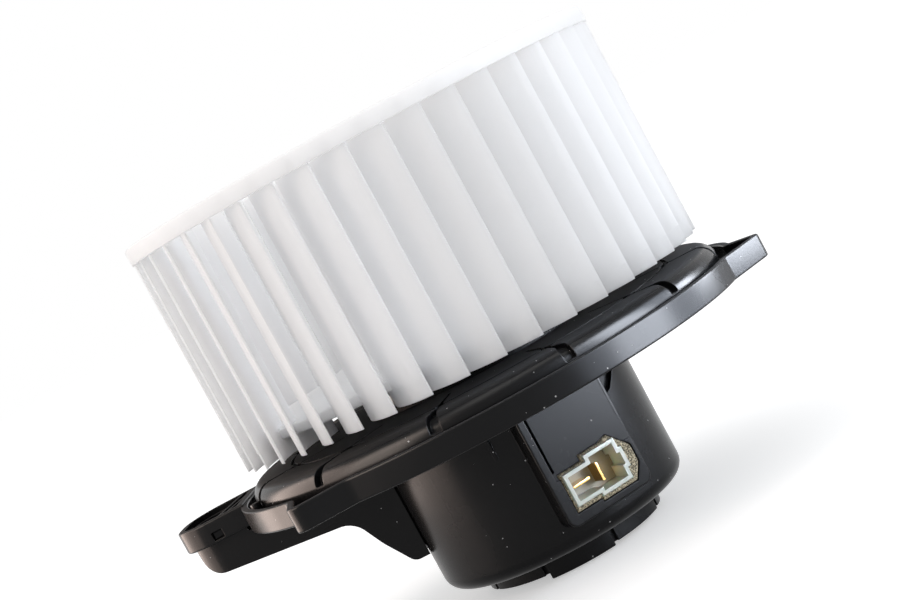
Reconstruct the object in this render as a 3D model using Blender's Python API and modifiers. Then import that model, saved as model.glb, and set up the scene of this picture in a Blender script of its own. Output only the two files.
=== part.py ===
# Car cabin blower motor: a squirrel-cage fan wheel on a brushed motor, held in a moulded flange housing.
# It stands on its end cap with the rotor axis on +Z. Angles round the axis are counted from -Y towards +X.
import math

import bmesh
import bpy
from mathutils import Matrix, Vector

MM = 0.001

# Clearances between pieces
SEAT_GAP = 0.3 * MM

# Fan wheel
BLADE_COUNT = 43
FAN_RADIUS = 75.0 * MM
FAN_HEIGHT = 72.4 * MM
FAN_RING_HEIGHT = 6.2 * MM
FAN_RING_WALL = 2.2 * MM
FAN_RING_PROUD = 0.4 * MM
FAN_RING_LIP = 1.0 * MM
BLADE_DEPTH = 16.0 * MM
BLADE_TURN_DEG = 86.0
BLADE_ROOT_THICKNESS = 1.3 * MM
BLADE_TIP_THICKNESS = 0.9 * MM
BLADE_SECTION_STEPS = 3
FIRST_BLADE_DEG = -61.3
FAN_RIM_SET_IN = 5.0 * MM
FAN_RIM_RISE = 5.3 * MM
FAN_RIM_THICKNESS = 3.2 * MM
FAN_PLATE_THICKNESS = 2.2 * MM
FAN_PLATE_SET_IN = 1.3 * MM
FAN_DISH_HEIGHT = 22.0 * MM
FAN_BOSS_RADIUS = 9.0 * MM
FAN_BOSS_HEIGHT = 16.0 * MM
FAN_BOSS_PROUD = 2.6 * MM
FAN_TO_PLATEAU = 4.6 * MM

# Housing: cup, flange pan and plateau
CUP_RADIUS = 39.4 * MM
CUP_DEPTH = 44.9 * MM
CUP_WALL = 2.7 * MM
CUP_FLOOR = 2.5 * MM
CUP_CORNER = 4.5 * MM
CUP_DRAFT = 0.2 * MM
PAN_RADIUS = 81.5 * MM
PAN_HEIGHT = 7.0 * MM
PAN_WALL = 2.2 * MM
PAN_FLOOR = 2.2 * MM
PAN_GUTTER = 2.8 * MM
PLATEAU_HEIGHT = 11.4 * MM
PLATEAU_ROOF = 2.4 * MM
PLATEAU_FILLET = 4.8 * MM
PLATEAU_SKIRT = 3.3 * MM
ROOF_LIP = 2.2 * MM
ROOT_WALL = 2.6 * MM
SEGMENT_COUNT = 12
SEGMENT_FIRST_DEG = 16.5
GROOVE_WIDTH = 1.2 * MM
GROOVE_DEPTH = 1.4 * MM
RING_GROOVE_DEPTH = 1.25 * MM
GROOVE_INNER_RADIUS = 46.0 * MM
RING_GROOVE_RADIUS = 62.0 * MM
NOTCH_WIDTH = 4.4 * MM
NOTCH_DEPTH = 4.4 * MM
NOTCH_REACH = 3.7 * MM
UNDER_RIB_THICKNESS = 1.8 * MM
UNDER_RIBS = 6
HOUSING_STEPS = 36

# Mounting ears: place round the axis, reach of the corner past the pan, and each side's slope to the
# centre line.
EAR_PROUD = 11.5 * MM
EAR_RIGHT_PROUD = 9.1 * MM
EAR_CORNER = 4.0 * MM
EAR_ROOT = 5.0 * MM
EARS = (
    (-42.0, EAR_PROUD, 45.0, 45.0),
    (78.0, EAR_RIGHT_PROUD, 58.0, 50.0),
    (198.0, EAR_PROUD, 45.0, 45.0),
)
EAR_HOLE_SET_OUT = 2.8 * MM
EAR_HOLE_RADIUS = 2.6 * MM

# Connector pad on the cup
PAD_DEG = 20.5
PAD_PROUD = 3.1 * MM
PAD_LEFT = 14.8 * MM
PAD_RIGHT = 13.7 * MM
PAD_FOOT = 6.9 * MM
PAD_CORNER = 2.8 * MM
PANEL_DEPTH = 0.8 * MM
PANEL_FOOT = 13.8 * MM
PANEL_STRIP = 2.4 * MM
PANEL_RIDGE = 0.9 * MM
PANEL_GROOVE_WIDTH = 1.0 * MM
PANEL_GROOVE_DEPTH = 1.8 * MM

# Connector: shell, terminals and foam seal, in the pad's own frame
SHELL_LOW_CELL_WIDTH = 8.0 * MM
SHELL_LOW_CELL_HEIGHT = 9.8 * MM
SHELL_HIGH_CELL_WIDTH = 10.6 * MM
SHELL_HIGH_CELL_HEIGHT = 12.7 * MM
SHELL_STEP_X = -2.4 * MM
SHELL_STEP_DROP = 1.1 * MM
SHELL_RIB_REACH = 1.0 * MM
SHELL_RIB_HEIGHT = 6.1 * MM
SHELL_WALL = 1.2 * MM
SHELL_DEPTH = 9.8 * MM
SHELL_BACK = 1.6 * MM
SHELL_PROUD = 0.8 * MM
SHELL_FOOT = 10.6 * MM
SEAL_MARGIN = 1.3 * MM
SEAL_SIDE_MARGIN = 2.9 * MM
SEAL_DEPTH = 3.0 * MM
TERMINAL_THICKNESS = 0.8 * MM
TERMINAL_WIDTH = 5.6 * MM
TERMINAL_LENGTH = 15.6 * MM
TERMINAL_SET_BACK = 2.2 * MM
TERMINAL_FLAT_X = -5.4 * MM
TERMINAL_UPRIGHT_X = 1.0 * MM

# Cooling duct and the tray that holds it
DUCT_TURN_DEG = 6.0
TRAY_HALF_WIDTH = 14.0 * MM
TRAY_LENGTH = 22.0 * MM
TRAY_WALL = 2.0 * MM
TRAY_TOP = 7.9 * MM
TRAY_FOOT = 1.1 * MM
TRAY_CORNER = 11.0 * MM
DUCT_WALL = 1.6 * MM
DUCT_SINK = 1.6 * MM
DUCT_TIP_DEPTH = 7.6 * MM
DUCT_THROAT_DEPTH = 12.0 * MM
DUCT_THROAT_SET_OUT = 16.9 * MM
DUCT_NECK = 6.6 * MM
DUCT_HEEL_DEPTH = 31.2 * MM
AIR_WINDOW_HALF_WIDTH = 8.0 * MM
AIR_WINDOW_HEIGHT = 16.0 * MM
AIR_WINDOW_DROP = 8.0 * MM
LATCH_SET_OUT = 8.7 * MM
LATCH_WIDTH = 2.8 * MM
LATCH_HEIGHT = 2.0 * MM
LATCH_PROUD = 1.4 * MM

# End cap in the foot of the cup
CAP_DROP = 6.3 * MM
CAP_SHOULDER = 8.4 * MM
CAP_RING_WALL = 2.6 * MM
CAP_WEB_LIFT = 2.0 * MM
CAP_WEB = 2.0 * MM
CAP_BOSS_RADIUS = 8.5 * MM
CAP_FLANGE_MARGIN = 3.0 * MM
CAP_FLANGE = 1.8 * MM
CAP_HOLE_CLEARANCE = 0.6 * MM
CAP_LOBES = 8
CAP_FIRST_SLOT_DEG = 21.5
CAP_SLOT_WIDTH = 1.6 * MM
CAP_SLOT_DEPTH = 1.2 * MM
CAP_SHORT_LOBES = ((0, 0.9 * MM), (1, 1.2 * MM), (2, 1.7 * MM), (4, 0.9 * MM), (5, 1.6 * MM), (6, 1.7 * MM))

# Motor can, magnets and end bracket
CAN_WALL = 1.8 * MM
CAN_PROUD = 7.4 * MM
CAN_CORNER = 3.0 * MM
CAN_STEPS = 24
SMALL_STEPS = 12
SEAT_BOSS_RADIUS = 11.0 * MM
SEAT_BOSS_HEIGHT = 8.0 * MM
SEAT_LIP = 1.4 * MM
CAN_VENTS = 4
CAN_VENT_FIRST_DEG = 50.0
CAN_VENT_RADIUS = 3.2 * MM
MAGNET_THICKNESS = 5.8 * MM
MAGNET_SPAN_DEG = 130.0
MAGNET_OVERHANG = 2.0 * MM
CLIP_THICKNESS = 0.8 * MM
CLIP_SPAN_DEG = 30.0
BRACKET_PLATE = 2.0 * MM
BRACKET_HUB_DROP = 7.0 * MM
ISOLATOR_LIP = 1.7 * MM
ISOLATOR_LIP_WIDTH = 5.0 * MM
ISOLATOR_SLEEVE = 5.2 * MM
ISOLATOR_WALL = 5.6 * MM
ISOLATOR_UPPER_HEIGHT = 7.0 * MM

# Shaft, bearings and armature
SHAFT_RADIUS = 4.0 * MM
SHAFT_FLAT = 0.8 * MM
SHAFT_PROUD = 2.5 * MM
BEARING_RADIUS = 7.5 * MM
BEARING_HEIGHT = 6.6 * MM
RETAINER_RADIUS = 12.0 * MM
RETAINER_THICKNESS = 0.6 * MM
WASHER_RADIUS = 7.4 * MM
WASHER_THICKNESS = 0.6 * MM
CLIP_RING_RADIUS = 8.0 * MM
CLIP_RING_THICKNESS = 0.8 * MM
CORE_AIR_GAP = 1.1 * MM
CORE_SLOTS = 8
CORE_SLOT_MOUTH_DEG = 6.0
CORE_SLOT_SPAN_DEG = 26.0
CORE_SLOT_ROOT_SHARE = 0.56
CORE_TOOTH_TIP = 1.6 * MM
COIL_HEAD_HEIGHT = 6.2 * MM
COIL_HEAD_SET_IN = 1.9 * MM
COIL_CLEARANCE = 3.4 * MM
COIL_HEAD_DROP = 1.5 * MM
COMMUTATOR_RADIUS = 9.0 * MM
COMMUTATOR_HEIGHT = 8.0 * MM
COMMUTATOR_BARS = 8

# Brush gear
CARD_THICKNESS = 1.8 * MM
CARD_HOLE_RADIUS = 13.0 * MM
BRUSH_WIDTH = 6.0 * MM
BRUSH_HEIGHT = 5.6 * MM
BRUSH_SHARE = 0.55
HOLDER_WALL = 0.7 * MM
HOLDER_SET_IN = 4.6 * MM
HOLDER_CLEARANCE = 1.6 * MM
SPRING_RADIUS = 1.9 * MM
SPRING_WIRE = 0.35 * MM
SPRING_TURNS = 3
CHOKE_RADIUS = 2.8 * MM
CHOKE_LENGTH = 14.0 * MM
CHOKE_SET_IN = 8.7 * MM
CHOKE_TURNS = 2

# Heights of the main faces, from the foot of the end cap up
LIP_Z = CAP_DROP
FLOOR_Z = LIP_Z + CUP_FLOOR
PAN_Z = LIP_Z + CUP_DEPTH
PLATEAU_Z = PAN_Z + PLATEAU_HEIGHT
BLADE_FOOT_Z = PLATEAU_Z + FAN_TO_PLATEAU
FAN_TOP_Z = BLADE_FOOT_Z + FAN_HEIGHT
CAP_FLANGE_Z = FLOOR_Z + SEAT_GAP
ISOLATOR_Z = CAP_FLANGE_Z + CAP_FLANGE + SEAT_GAP
BRACKET_Z = ISOLATOR_Z + ISOLATOR_LIP + SEAT_GAP
BRACKET_TOP_Z = BRACKET_Z + BRACKET_PLATE
CARD_Z = BRACKET_TOP_Z + RETAINER_THICKNESS + 2 * SEAT_GAP
CARD_TOP_Z = CARD_Z + CARD_THICKNESS
COMMUTATOR_Z = CARD_TOP_Z + SEAT_GAP
CORE_Z = COMMUTATOR_Z + COMMUTATOR_HEIGHT + COIL_HEAD_HEIGHT + 2 * SEAT_GAP
CAN_TOP = PLATEAU_Z + CAN_PROUD
CAN_INSIDE_Z = CAN_TOP - CAN_WALL
CORE_TOP_Z = CAN_INSIDE_Z - COIL_CLEARANCE - COIL_HEAD_HEIGHT - SEAT_GAP

# Radii and reaches that follow from the fan's, the pan's and the cup's
BLADE_INNER_RADIUS = FAN_RADIUS - BLADE_DEPTH
FAN_RIM_RADIUS = FAN_RADIUS - FAN_RIM_SET_IN
FAN_PLATE_RADIUS = BLADE_INNER_RADIUS - FAN_PLATE_SET_IN
PLATEAU_RADIUS = PAN_RADIUS - PAN_WALL - PAN_GUTTER
EAR_HOLE_CIRCLE = PAN_RADIUS + EAR_HOLE_SET_OUT
TRAY_REACH = PAN_RADIUS + TRAY_LENGTH
LATCH_REACH = PAN_RADIUS + LATCH_SET_OUT
BORE_RADIUS = CUP_RADIUS - CUP_WALL
CENTRE_HOLE_RADIUS = BORE_RADIUS - ROOF_LIP
PAD_DISTANCE = CUP_RADIUS + PAD_PROUD
DUCT_THROAT_REACH = CUP_RADIUS + DUCT_THROAT_SET_OUT
DUCT_NECK_REACH = CUP_RADIUS + DUCT_NECK
CAP_RADIUS = BORE_RADIUS - CAP_SHOULDER
CAN_RADIUS = BORE_RADIUS - ISOLATOR_WALL - 2 * SEAT_GAP
CAN_BORE = CAN_RADIUS - CAN_WALL
CORE_RADIUS = CAN_BORE - SEAT_GAP - MAGNET_THICKNESS - CORE_AIR_GAP
CORE_SLOT_ROOT = CORE_RADIUS * CORE_SLOT_ROOT_SHARE
COIL_HEAD_OUTER = CORE_RADIUS - COIL_HEAD_SET_IN
COIL_HEAD_INNER = CORE_SLOT_ROOT - COIL_HEAD_DROP
CAN_VENT_CIRCLE = (CAN_RADIUS + SEAT_BOSS_RADIUS) / 2.0
CHOKE_CIRCLE = CAN_BORE - CHOKE_SET_IN
SHAFT_BORE = SHAFT_RADIUS + SEAT_GAP

model = bpy.data.collections.new("blower_motor")
cutters = bpy.data.collections.new("blower_motor_cutters")


def clear_scene():
    for thing in list(bpy.data.objects):
        bpy.data.objects.remove(thing, do_unlink=True)
    for group in (model, cutters):
        bpy.context.scene.collection.children.link(group)


def material(name, colour, roughness, metallic=0.0):
    made = bpy.data.materials.get(name) or bpy.data.materials.new(name)
    made.use_nodes = True
    shader = made.node_tree.nodes["Principled BSDF"]
    shader.inputs["Base Color"].default_value = (*colour, 1.0)
    shader.inputs["Roughness"].default_value = roughness
    shader.inputs["Metallic"].default_value = metallic
    made.diffuse_color = (*colour, 1.0)
    return made


def add_object(name, mesh, finish=None):
    """A piece goes in the model, and a shape without a finish is a cutter or a blank for one."""
    thing = bpy.data.objects.new(name, mesh)
    if finish is None:
        cutters.objects.link(thing)
        thing.hide_render = True
        thing.display_type = "WIRE"
    else:
        model.objects.link(thing)
        mesh.materials.append(finish)
    return thing


def from_bmesh(name, shape, finish=None):
    mesh = bpy.data.meshes.new(name)
    shape.to_mesh(mesh)
    shape.free()
    return add_object(name, mesh, finish)


def turned(name, profile, steps, finish=None, start_deg=0.0):
    """Spins a profile of (radius, height) points. It runs down its outer side; a ring's profile is closed."""
    shape = bmesh.new()
    start = math.radians(start_deg)
    points = [shape.verts.new((radius * math.cos(start), radius * math.sin(start), height))
              for radius, height in profile]
    for first, second in zip(points, points[1:]):
        shape.edges.new((first, second))
    if profile[0][0] > 0.0:
        shape.edges.new((points[-1], points[0]))
    thing = from_bmesh(name, shape, finish)
    screw = thing.modifiers.new("turn", "SCREW")
    screw.axis = "Z"
    screw.angle = math.tau
    screw.steps = steps
    screw.render_steps = steps
    screw.use_merge_vertices = True
    screw.merge_threshold = 0.00001
    screw.use_smooth_shade = False
    return thing


def plate(name, outlines, low, high, finish=None, frame=None):
    """A flat outline, with its holes, given thickness from low to high along the frame's own Z."""
    curve = bpy.data.curves.new(name, "CURVE")
    curve.dimensions = "2D"
    curve.fill_mode = "BOTH"
    curve.extrude = (high - low) / 2.0
    for outline in outlines:
        spline = curve.splines.new("POLY")
        spline.points.add(len(outline) - 1)
        for point, (across, up) in zip(spline.points, outline):
            point.co = (across, up, 0.0, 1.0)
        spline.use_cyclic_u = True
    blank = bpy.data.objects.new(name, curve)
    bpy.context.scene.collection.objects.link(blank)
    bpy.context.view_layer.update()
    drawn = bpy.data.meshes.new_from_object(blank.evaluated_get(bpy.context.evaluated_depsgraph_get()))
    bpy.data.objects.remove(blank)
    bpy.data.curves.remove(curve)
    shape = bmesh.new()
    shape.from_mesh(drawn)
    bpy.data.meshes.remove(drawn)
    bmesh.ops.remove_doubles(shape, verts=shape.verts, dist=0.000001)
    place = (frame or Matrix()) @ Matrix.Translation((0.0, 0.0, (low + high) / 2.0))
    bmesh.ops.transform(shape, matrix=place, verts=shape.verts)
    bmesh.ops.recalc_face_normals(shape, faces=shape.faces)
    return from_bmesh(name, shape, finish)


def block(name, low, high, finish=None, frame=None):
    """A box between two corners of its frame."""
    size = [b - a for a, b in zip(low, high)]
    middle = [(a + b) / 2.0 for a, b in zip(low, high)]
    shape = bmesh.new()
    bmesh.ops.create_cube(shape, size=1.0)
    place = (frame or Matrix()) @ Matrix.Translation(middle) @ Matrix.Diagonal((*size, 1.0))
    bmesh.ops.transform(shape, matrix=place, verts=shape.verts)
    return from_bmesh(name, shape, finish)


def rod(name, radius, low, high, x=0.0, y=0.0, steps=16, finish=None):
    shape = bmesh.new()
    bmesh.ops.create_cone(shape, cap_ends=True, segments=steps, radius1=radius, radius2=radius,
                          depth=high - low)
    bmesh.ops.translate(shape, verts=shape.verts, vec=(x, y, (low + high) / 2.0))
    return from_bmesh(name, shape, finish)


def gathered(name, things):
    """Cutters that lie apart, as one mesh."""
    shape = bmesh.new()
    for thing in things:
        shape.from_mesh(thing.data)
        bpy.data.objects.remove(thing)
    return from_bmesh(name, shape)


def combine(target, tool, operation):
    step = target.modifiers.new(tool.name, "BOOLEAN")
    step.operation = operation
    step.object = tool
    step.solver = "EXACT"


def cut(target, tool):
    combine(target, tool, "DIFFERENCE")


def join(target, tool):
    combine(target, tool, "UNION")


def keep(target, tool):
    combine(target, tool, "INTERSECT")


def heading(angle_deg):
    """Unit vector in plan at an angle counted from -Y towards +X."""
    angle = math.radians(angle_deg)
    return Vector((math.sin(angle), -math.cos(angle)))


def turned_to(angle_deg):
    """Frame whose +Y points out along a heading, for shapes repeated round the axis."""
    return Matrix.Rotation(math.radians(angle_deg + 180.0), 4, "Z")


def arc(centre_r, centre_z, radius, start_deg, end_deg, steps):
    """Points on an arc of a profile or outline."""
    points = []
    for index in range(steps + 1):
        angle = math.radians(start_deg + (end_deg - start_deg) * index / steps)
        points.append((centre_r + radius * math.cos(angle), centre_z + radius * math.sin(angle)))
    return points


def rounded(corners, steps=4):
    """Outline through (x, y, fillet radius) corners, each fillet limited by its shorter side."""
    points = []
    for index, (x, y, radius) in enumerate(corners):
        here = Vector((x, y))
        before = Vector(corners[index - 1][:2]) - here
        after = Vector(corners[(index + 1) % len(corners)][:2]) - here
        half = before.angle(after) / 2.0
        if radius == 0.0 or half > math.radians(89.0):
            points.append((x, y))
            continue
        reach = min(radius / math.tan(half), 0.49 * before.length, 0.49 * after.length)
        fillet = reach * math.tan(half)
        first = here + before.normalized() * reach
        middle = here + (before.normalized() + after.normalized()).normalized() * (fillet / math.sin(half))
        sweep = (first - middle).angle_signed(here + after.normalized() * reach - middle)
        for step in range(steps + 1):
            spoke = (first - middle).copy()
            spoke.rotate(Matrix.Rotation(-sweep * step / steps, 2))
            points.append(tuple(middle + spoke))
    return points


def inset(corners, distance):
    """The same corners moved inwards by a wall. They run counter-clockwise."""
    moved = []
    for index, (x, y, radius) in enumerate(corners):
        here = Vector((x, y))
        incoming = (here - Vector(corners[index - 1][:2])).normalized()
        outgoing = (Vector(corners[(index + 1) % len(corners)][:2]) - here).normalized()
        left_in = Vector((-incoming.y, incoming.x))
        left_out = Vector((-outgoing.y, outgoing.x))
        shift = (left_in + left_out) * (distance / (1.0 + left_in.dot(left_out)))
        convex = incoming.cross(outgoing) > 0.0
        fillet = max(radius - distance, 0.0) if convex else radius + distance if radius else 0.0
        moved.append((x + shift.x, y + shift.y, fillet))
    return moved


BLACK_PLASTIC = ((0.022, 0.022, 0.024), 0.42)
WHITE_PLASTIC = ((0.86, 0.86, 0.88), 0.38)
NYLON = ((0.72, 0.76, 0.62), 0.45)
FOAM = ((0.36, 0.29, 0.19), 0.95)
BRASS = ((0.80, 0.58, 0.24), 0.28, 1.0)
STEEL = ((0.58, 0.58, 0.60), 0.35, 1.0)
FERRITE = ((0.07, 0.07, 0.075), 0.7)
RUBBER = ((0.03, 0.03, 0.03), 0.8)
CARBON = ((0.05, 0.05, 0.05), 0.6)
BRONZE = ((0.50, 0.36, 0.20), 0.5, 1.0)
COPPER = ((0.72, 0.36, 0.20), 0.35, 1.0)
CARD_PLASTIC = ((0.30, 0.17, 0.09), 0.6)


# Fan wheel: a hub plate and a blade ring in white plastic, welded at the plate's edge. Each blade starts
# radially at its inner edge and curves forward to the rim.
def blade_outline():
    turn = math.radians(BLADE_TURN_DEG)
    tip_radius = FAN_RADIUS - FAN_RING_PROUD
    bend = 2.0 * (1.0 - math.cos(turn))
    lead = 2.0 * BLADE_INNER_RADIUS * math.sin(turn)
    rest = tip_radius ** 2 - BLADE_INNER_RADIUS ** 2
    arc_radius = (math.sqrt(lead ** 2 + 4.0 * bend * rest) - lead) / (2.0 * bend)
    sides = ([], [])
    for index in range(BLADE_SECTION_STEPS + 1):
        share = index / BLADE_SECTION_STEPS
        angle = turn * share
        x = arc_radius * (1.0 - math.cos(angle))
        y = BLADE_INNER_RADIUS + arc_radius * math.sin(angle)
        half = (BLADE_ROOT_THICKNESS + (BLADE_TIP_THICKNESS - BLADE_ROOT_THICKNESS) * share) / 2.0
        sides[0].append(Vector((x + half * math.cos(angle), y - half * math.sin(angle))))
        sides[1].append(Vector((x - half * math.cos(angle), y + half * math.sin(angle))))
    lag = math.atan2(sides[0][-1].x, sides[0][-1].y)
    section = sides[0] + sides[1][::-1]
    outline = []
    for point in section:
        point = point * min(1.0, tip_radius / point.length)
        angle = math.atan2(point.x, point.y) - lag
        outline.append((point.length * math.sin(angle), -point.length * math.cos(angle)))
    return outline


def fan_wheel():
    finish = material("white_polypropylene", *WHITE_PLASTIC)
    rim_foot = BLADE_FOOT_Z + FAN_RIM_RISE
    rim_top = rim_foot + FAN_RIM_THICKNESS
    dish_top = rim_top + FAN_DISH_HEIGHT
    boss_top = dish_top + FAN_BOSS_PROUD
    edge_top = rim_top + 0.20 * FAN_DISH_HEIGHT
    run = FAN_PLATE_RADIUS - FAN_BOSS_RADIUS
    dish = [
        (FAN_BOSS_RADIUS, dish_top),
        (FAN_BOSS_RADIUS + 0.29 * run, dish_top - 0.08 * FAN_DISH_HEIGHT),
        (FAN_BOSS_RADIUS + 0.66 * run, dish_top - 0.42 * FAN_DISH_HEIGHT),
        (FAN_PLATE_RADIUS, edge_top),
    ]
    underside = [(radius, height - FAN_PLATE_THICKNESS) for radius, height in reversed(dish)]
    profile = [(SHAFT_BORE, boss_top), (FAN_BOSS_RADIUS, boss_top)] + dish + underside
    profile += [(FAN_BOSS_RADIUS, boss_top - FAN_BOSS_HEIGHT), (SHAFT_BORE, boss_top - FAN_BOSS_HEIGHT)]
    turned("fan_wheel", profile, BLADE_COUNT, finish)

    weld = FAN_PLATE_RADIUS + SEAT_GAP
    blade_ring = turned("fan_blades", [
        (weld, edge_top), (FAN_RIM_RADIUS, rim_top), (FAN_RIM_RADIUS, rim_foot),
        (weld, edge_top - FAN_PLATE_THICKNESS),
    ], BLADE_COUNT, finish)
    ring_low = FAN_TOP_Z - FAN_RING_HEIGHT
    ring_bore = FAN_RADIUS - FAN_RING_WALL
    ring = turned("fan_ring", [
        (ring_bore, FAN_TOP_Z), (FAN_RADIUS, FAN_TOP_Z), (FAN_RADIUS, ring_low), (ring_bore, ring_low),
    ], BLADE_COUNT)
    outline = blade_outline()
    blades = []
    for index in range(BLADE_COUNT):
        place = Matrix.Rotation(math.radians(FIRST_BLADE_DEG) + math.tau * index / BLADE_COUNT, 4, "Z")
        blades.append(plate("blade", [outline], BLADE_FOOT_Z, FAN_TOP_Z - FAN_RING_LIP, frame=place))
    join(blade_ring, gathered("blades", blades))
    join(blade_ring, ring)
    return boss_top


# Motor housing: one black moulding with the flange pan, the plateau, the cup, the pad and the duct tray.
def pan_outline(wall):
    """The pan's outline, moved inwards by a wall: a circle with a pointed ear at each mounting screw."""
    radius = PAN_RADIUS - wall
    corners = []
    for index, (centre, proud, slope_before, slope_after) in enumerate(EARS):
        reach = PAN_RADIUS + proud
        lines = []
        for side, slope in ((-1.0, slope_before), (1.0, slope_after)):
            normal_deg = centre + side * (90.0 - slope)
            distance = reach * math.sin(math.radians(slope)) - wall
            root_deg = normal_deg - side * math.degrees(math.acos(min(distance / radius, 1.0)))
            if side * (root_deg - centre) < 0.0:
                root_deg = normal_deg
            lines.append((heading(normal_deg), distance, root_deg))
        (normal_a, reach_a, root_a), (normal_b, reach_b, root_b) = lines
        scale = normal_a.cross(normal_b)
        tip_x = (reach_a * normal_b.y - reach_b * normal_a.y) / scale
        tip_y = (reach_b * normal_a.x - reach_a * normal_b.x) / scale
        corners.append((*(heading(root_a) * radius), EAR_ROOT))
        corners.append((tip_x, tip_y, max(EAR_CORNER - wall, 0.5 * MM)))
        corners.append((*(heading(root_b) * radius), EAR_ROOT))
        next_centre, next_proud, next_slope, _ = EARS[(index + 1) % len(EARS)]
        if index == len(EARS) - 1:
            next_centre += 360.0
        next_distance = (PAN_RADIUS + next_proud) * math.sin(math.radians(next_slope)) - wall
        next_side = math.degrees(math.acos(min(next_distance / radius, 1.0)))
        next_root = next_centre - (90.0 - next_slope) + next_side
        steps = max(int((next_root - root_b) / 360.0 * HOUSING_STEPS), 1)
        for step in range(1, steps):
            angle = root_b + (next_root - root_b) * step / steps
            corners.append((*(heading(angle) * radius), 0.0))
    return rounded(corners, 3)


def duct_frame():
    """Frame of the duct: +X out along the duct, +Y sideways to the front, +Z up."""
    turn = math.radians(DUCT_TURN_DEG)
    along = Vector((-math.cos(turn), math.sin(turn), 0.0))
    up = Vector((0.0, 0.0, 1.0))
    side = up.cross(along)
    return Matrix((along, side, up)).transposed().to_4x4()


def duct_side_frame():
    """The duct's frame laid over: +X out along the duct, +Y up, +Z to the back."""
    return duct_frame() @ Matrix.Rotation(math.radians(90.0), 4, "X")


def pad_frame():
    """Frame of the connector pad: +X along the pad, +Y up, +Z out of the cup."""
    out = heading(PAD_DEG).to_3d()
    up = Vector((0.0, 0.0, 1.0))
    across = up.cross(out)
    return Matrix((across, up, out)).transposed().to_4x4()


def shell_corners(margin):
    """The connector's stepped outline on the pad, grown by a margin."""
    foot = LIP_Z + SHELL_FOOT
    left = SHELL_STEP_X - SHELL_LOW_CELL_WIDTH
    right = SHELL_STEP_X + SHELL_HIGH_CELL_WIDTH
    top = foot + SHELL_HIGH_CELL_HEIGHT
    low_foot = foot + SHELL_STEP_DROP
    low_top = low_foot + SHELL_LOW_CELL_HEIGHT
    rib_low = foot + (SHELL_HIGH_CELL_HEIGHT - SHELL_RIB_HEIGHT) / 2.0
    rib_high = rib_low + SHELL_RIB_HEIGHT
    rib_right = right + SHELL_RIB_REACH
    corners = [
        (left, low_foot, 0.0), (SHELL_STEP_X, low_foot, 0.0), (SHELL_STEP_X, foot, 0.0), (right, foot, 0.0),
        (right, rib_low, 0.0), (rib_right, rib_low, 0.0), (rib_right, rib_high, 0.0), (right, rib_high, 0.0),
        (right, top, 0.0), (SHELL_STEP_X, top, 0.0), (SHELL_STEP_X, low_top, 0.0), (left, low_top, 0.0),
    ]
    return [(x, y) for x, y, _ in inset(corners, -margin)]


def seal_corners(margin):
    """The foam's outline: it follows the shell's foot and its far side, where it is wider."""
    foot = LIP_Z + SHELL_FOOT
    left = SHELL_STEP_X - SHELL_LOW_CELL_WIDTH
    right = SHELL_STEP_X + SHELL_HIGH_CELL_WIDTH + SHELL_RIB_REACH
    top = foot + SHELL_HIGH_CELL_HEIGHT
    corner = 1.5 * SEAL_SIDE_MARGIN
    corners = [
        (left - SEAL_MARGIN, foot + SHELL_STEP_DROP - SEAL_MARGIN, 0.0),
        (SHELL_STEP_X, foot + SHELL_STEP_DROP - SEAL_MARGIN, 0.0),
        (SHELL_STEP_X, foot - SEAL_MARGIN, 0.0),
        (right, foot - SEAL_MARGIN, 0.0),
        (right + SEAL_SIDE_MARGIN, foot - SEAL_MARGIN + corner, 0.0),
        (right + SEAL_SIDE_MARGIN, top - corner, 0.0),
        (right - corner / 2.0, top + SEAL_MARGIN, 0.0),
        (SHELL_STEP_X - SEAL_MARGIN, top + SEAL_MARGIN, 0.0),
        (SHELL_STEP_X - SEAL_MARGIN, foot + SHELL_STEP_DROP + SHELL_LOW_CELL_HEIGHT + SEAL_MARGIN, 0.0),
        (left - SEAL_MARGIN, foot + SHELL_STEP_DROP + SHELL_LOW_CELL_HEIGHT + SEAL_MARGIN, 0.0),
    ]
    return [(x, y) for x, y, _ in inset(corners, -margin)]


def tray_corners(reach, half_width, corner, start):
    return [
        (start, -half_width, 0.0), (reach, -half_width, corner),
        (reach, half_width, corner), (start, half_width, 0.0),
    ]


def around(name, count, first_deg, low, high):
    """Like boxes round the axis: low and high are corners with +Y pointing out."""
    boxes = []
    for index in range(count):
        boxes.append(block(name, low, high, frame=turned_to(first_deg + 360.0 * index / count)))
    return gathered(name, boxes)


def plateau_profile():
    fillet_r = PLATEAU_RADIUS - PLATEAU_FILLET
    fillet_z = PLATEAU_Z - PLATEAU_FILLET
    foot = PAN_Z + PAN_FLOOR / 2.0
    profile = [(0.0, PLATEAU_Z)] + arc(fillet_r, fillet_z, PLATEAU_FILLET, 90.0, 0.0, 3)
    return profile + [(PLATEAU_RADIUS, foot), (0.0, foot)]


def cup_profile():
    top = PLATEAU_Z - PLATEAU_ROOF / 2.0
    corner_r = CUP_RADIUS - CUP_DRAFT - CUP_CORNER
    profile = [(0.0, top), (CUP_RADIUS, top)]
    profile += arc(corner_r, LIP_Z + CUP_CORNER, CUP_CORNER, 0.0, -90.0, 3)
    return profile + [(0.0, LIP_Z)]


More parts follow.
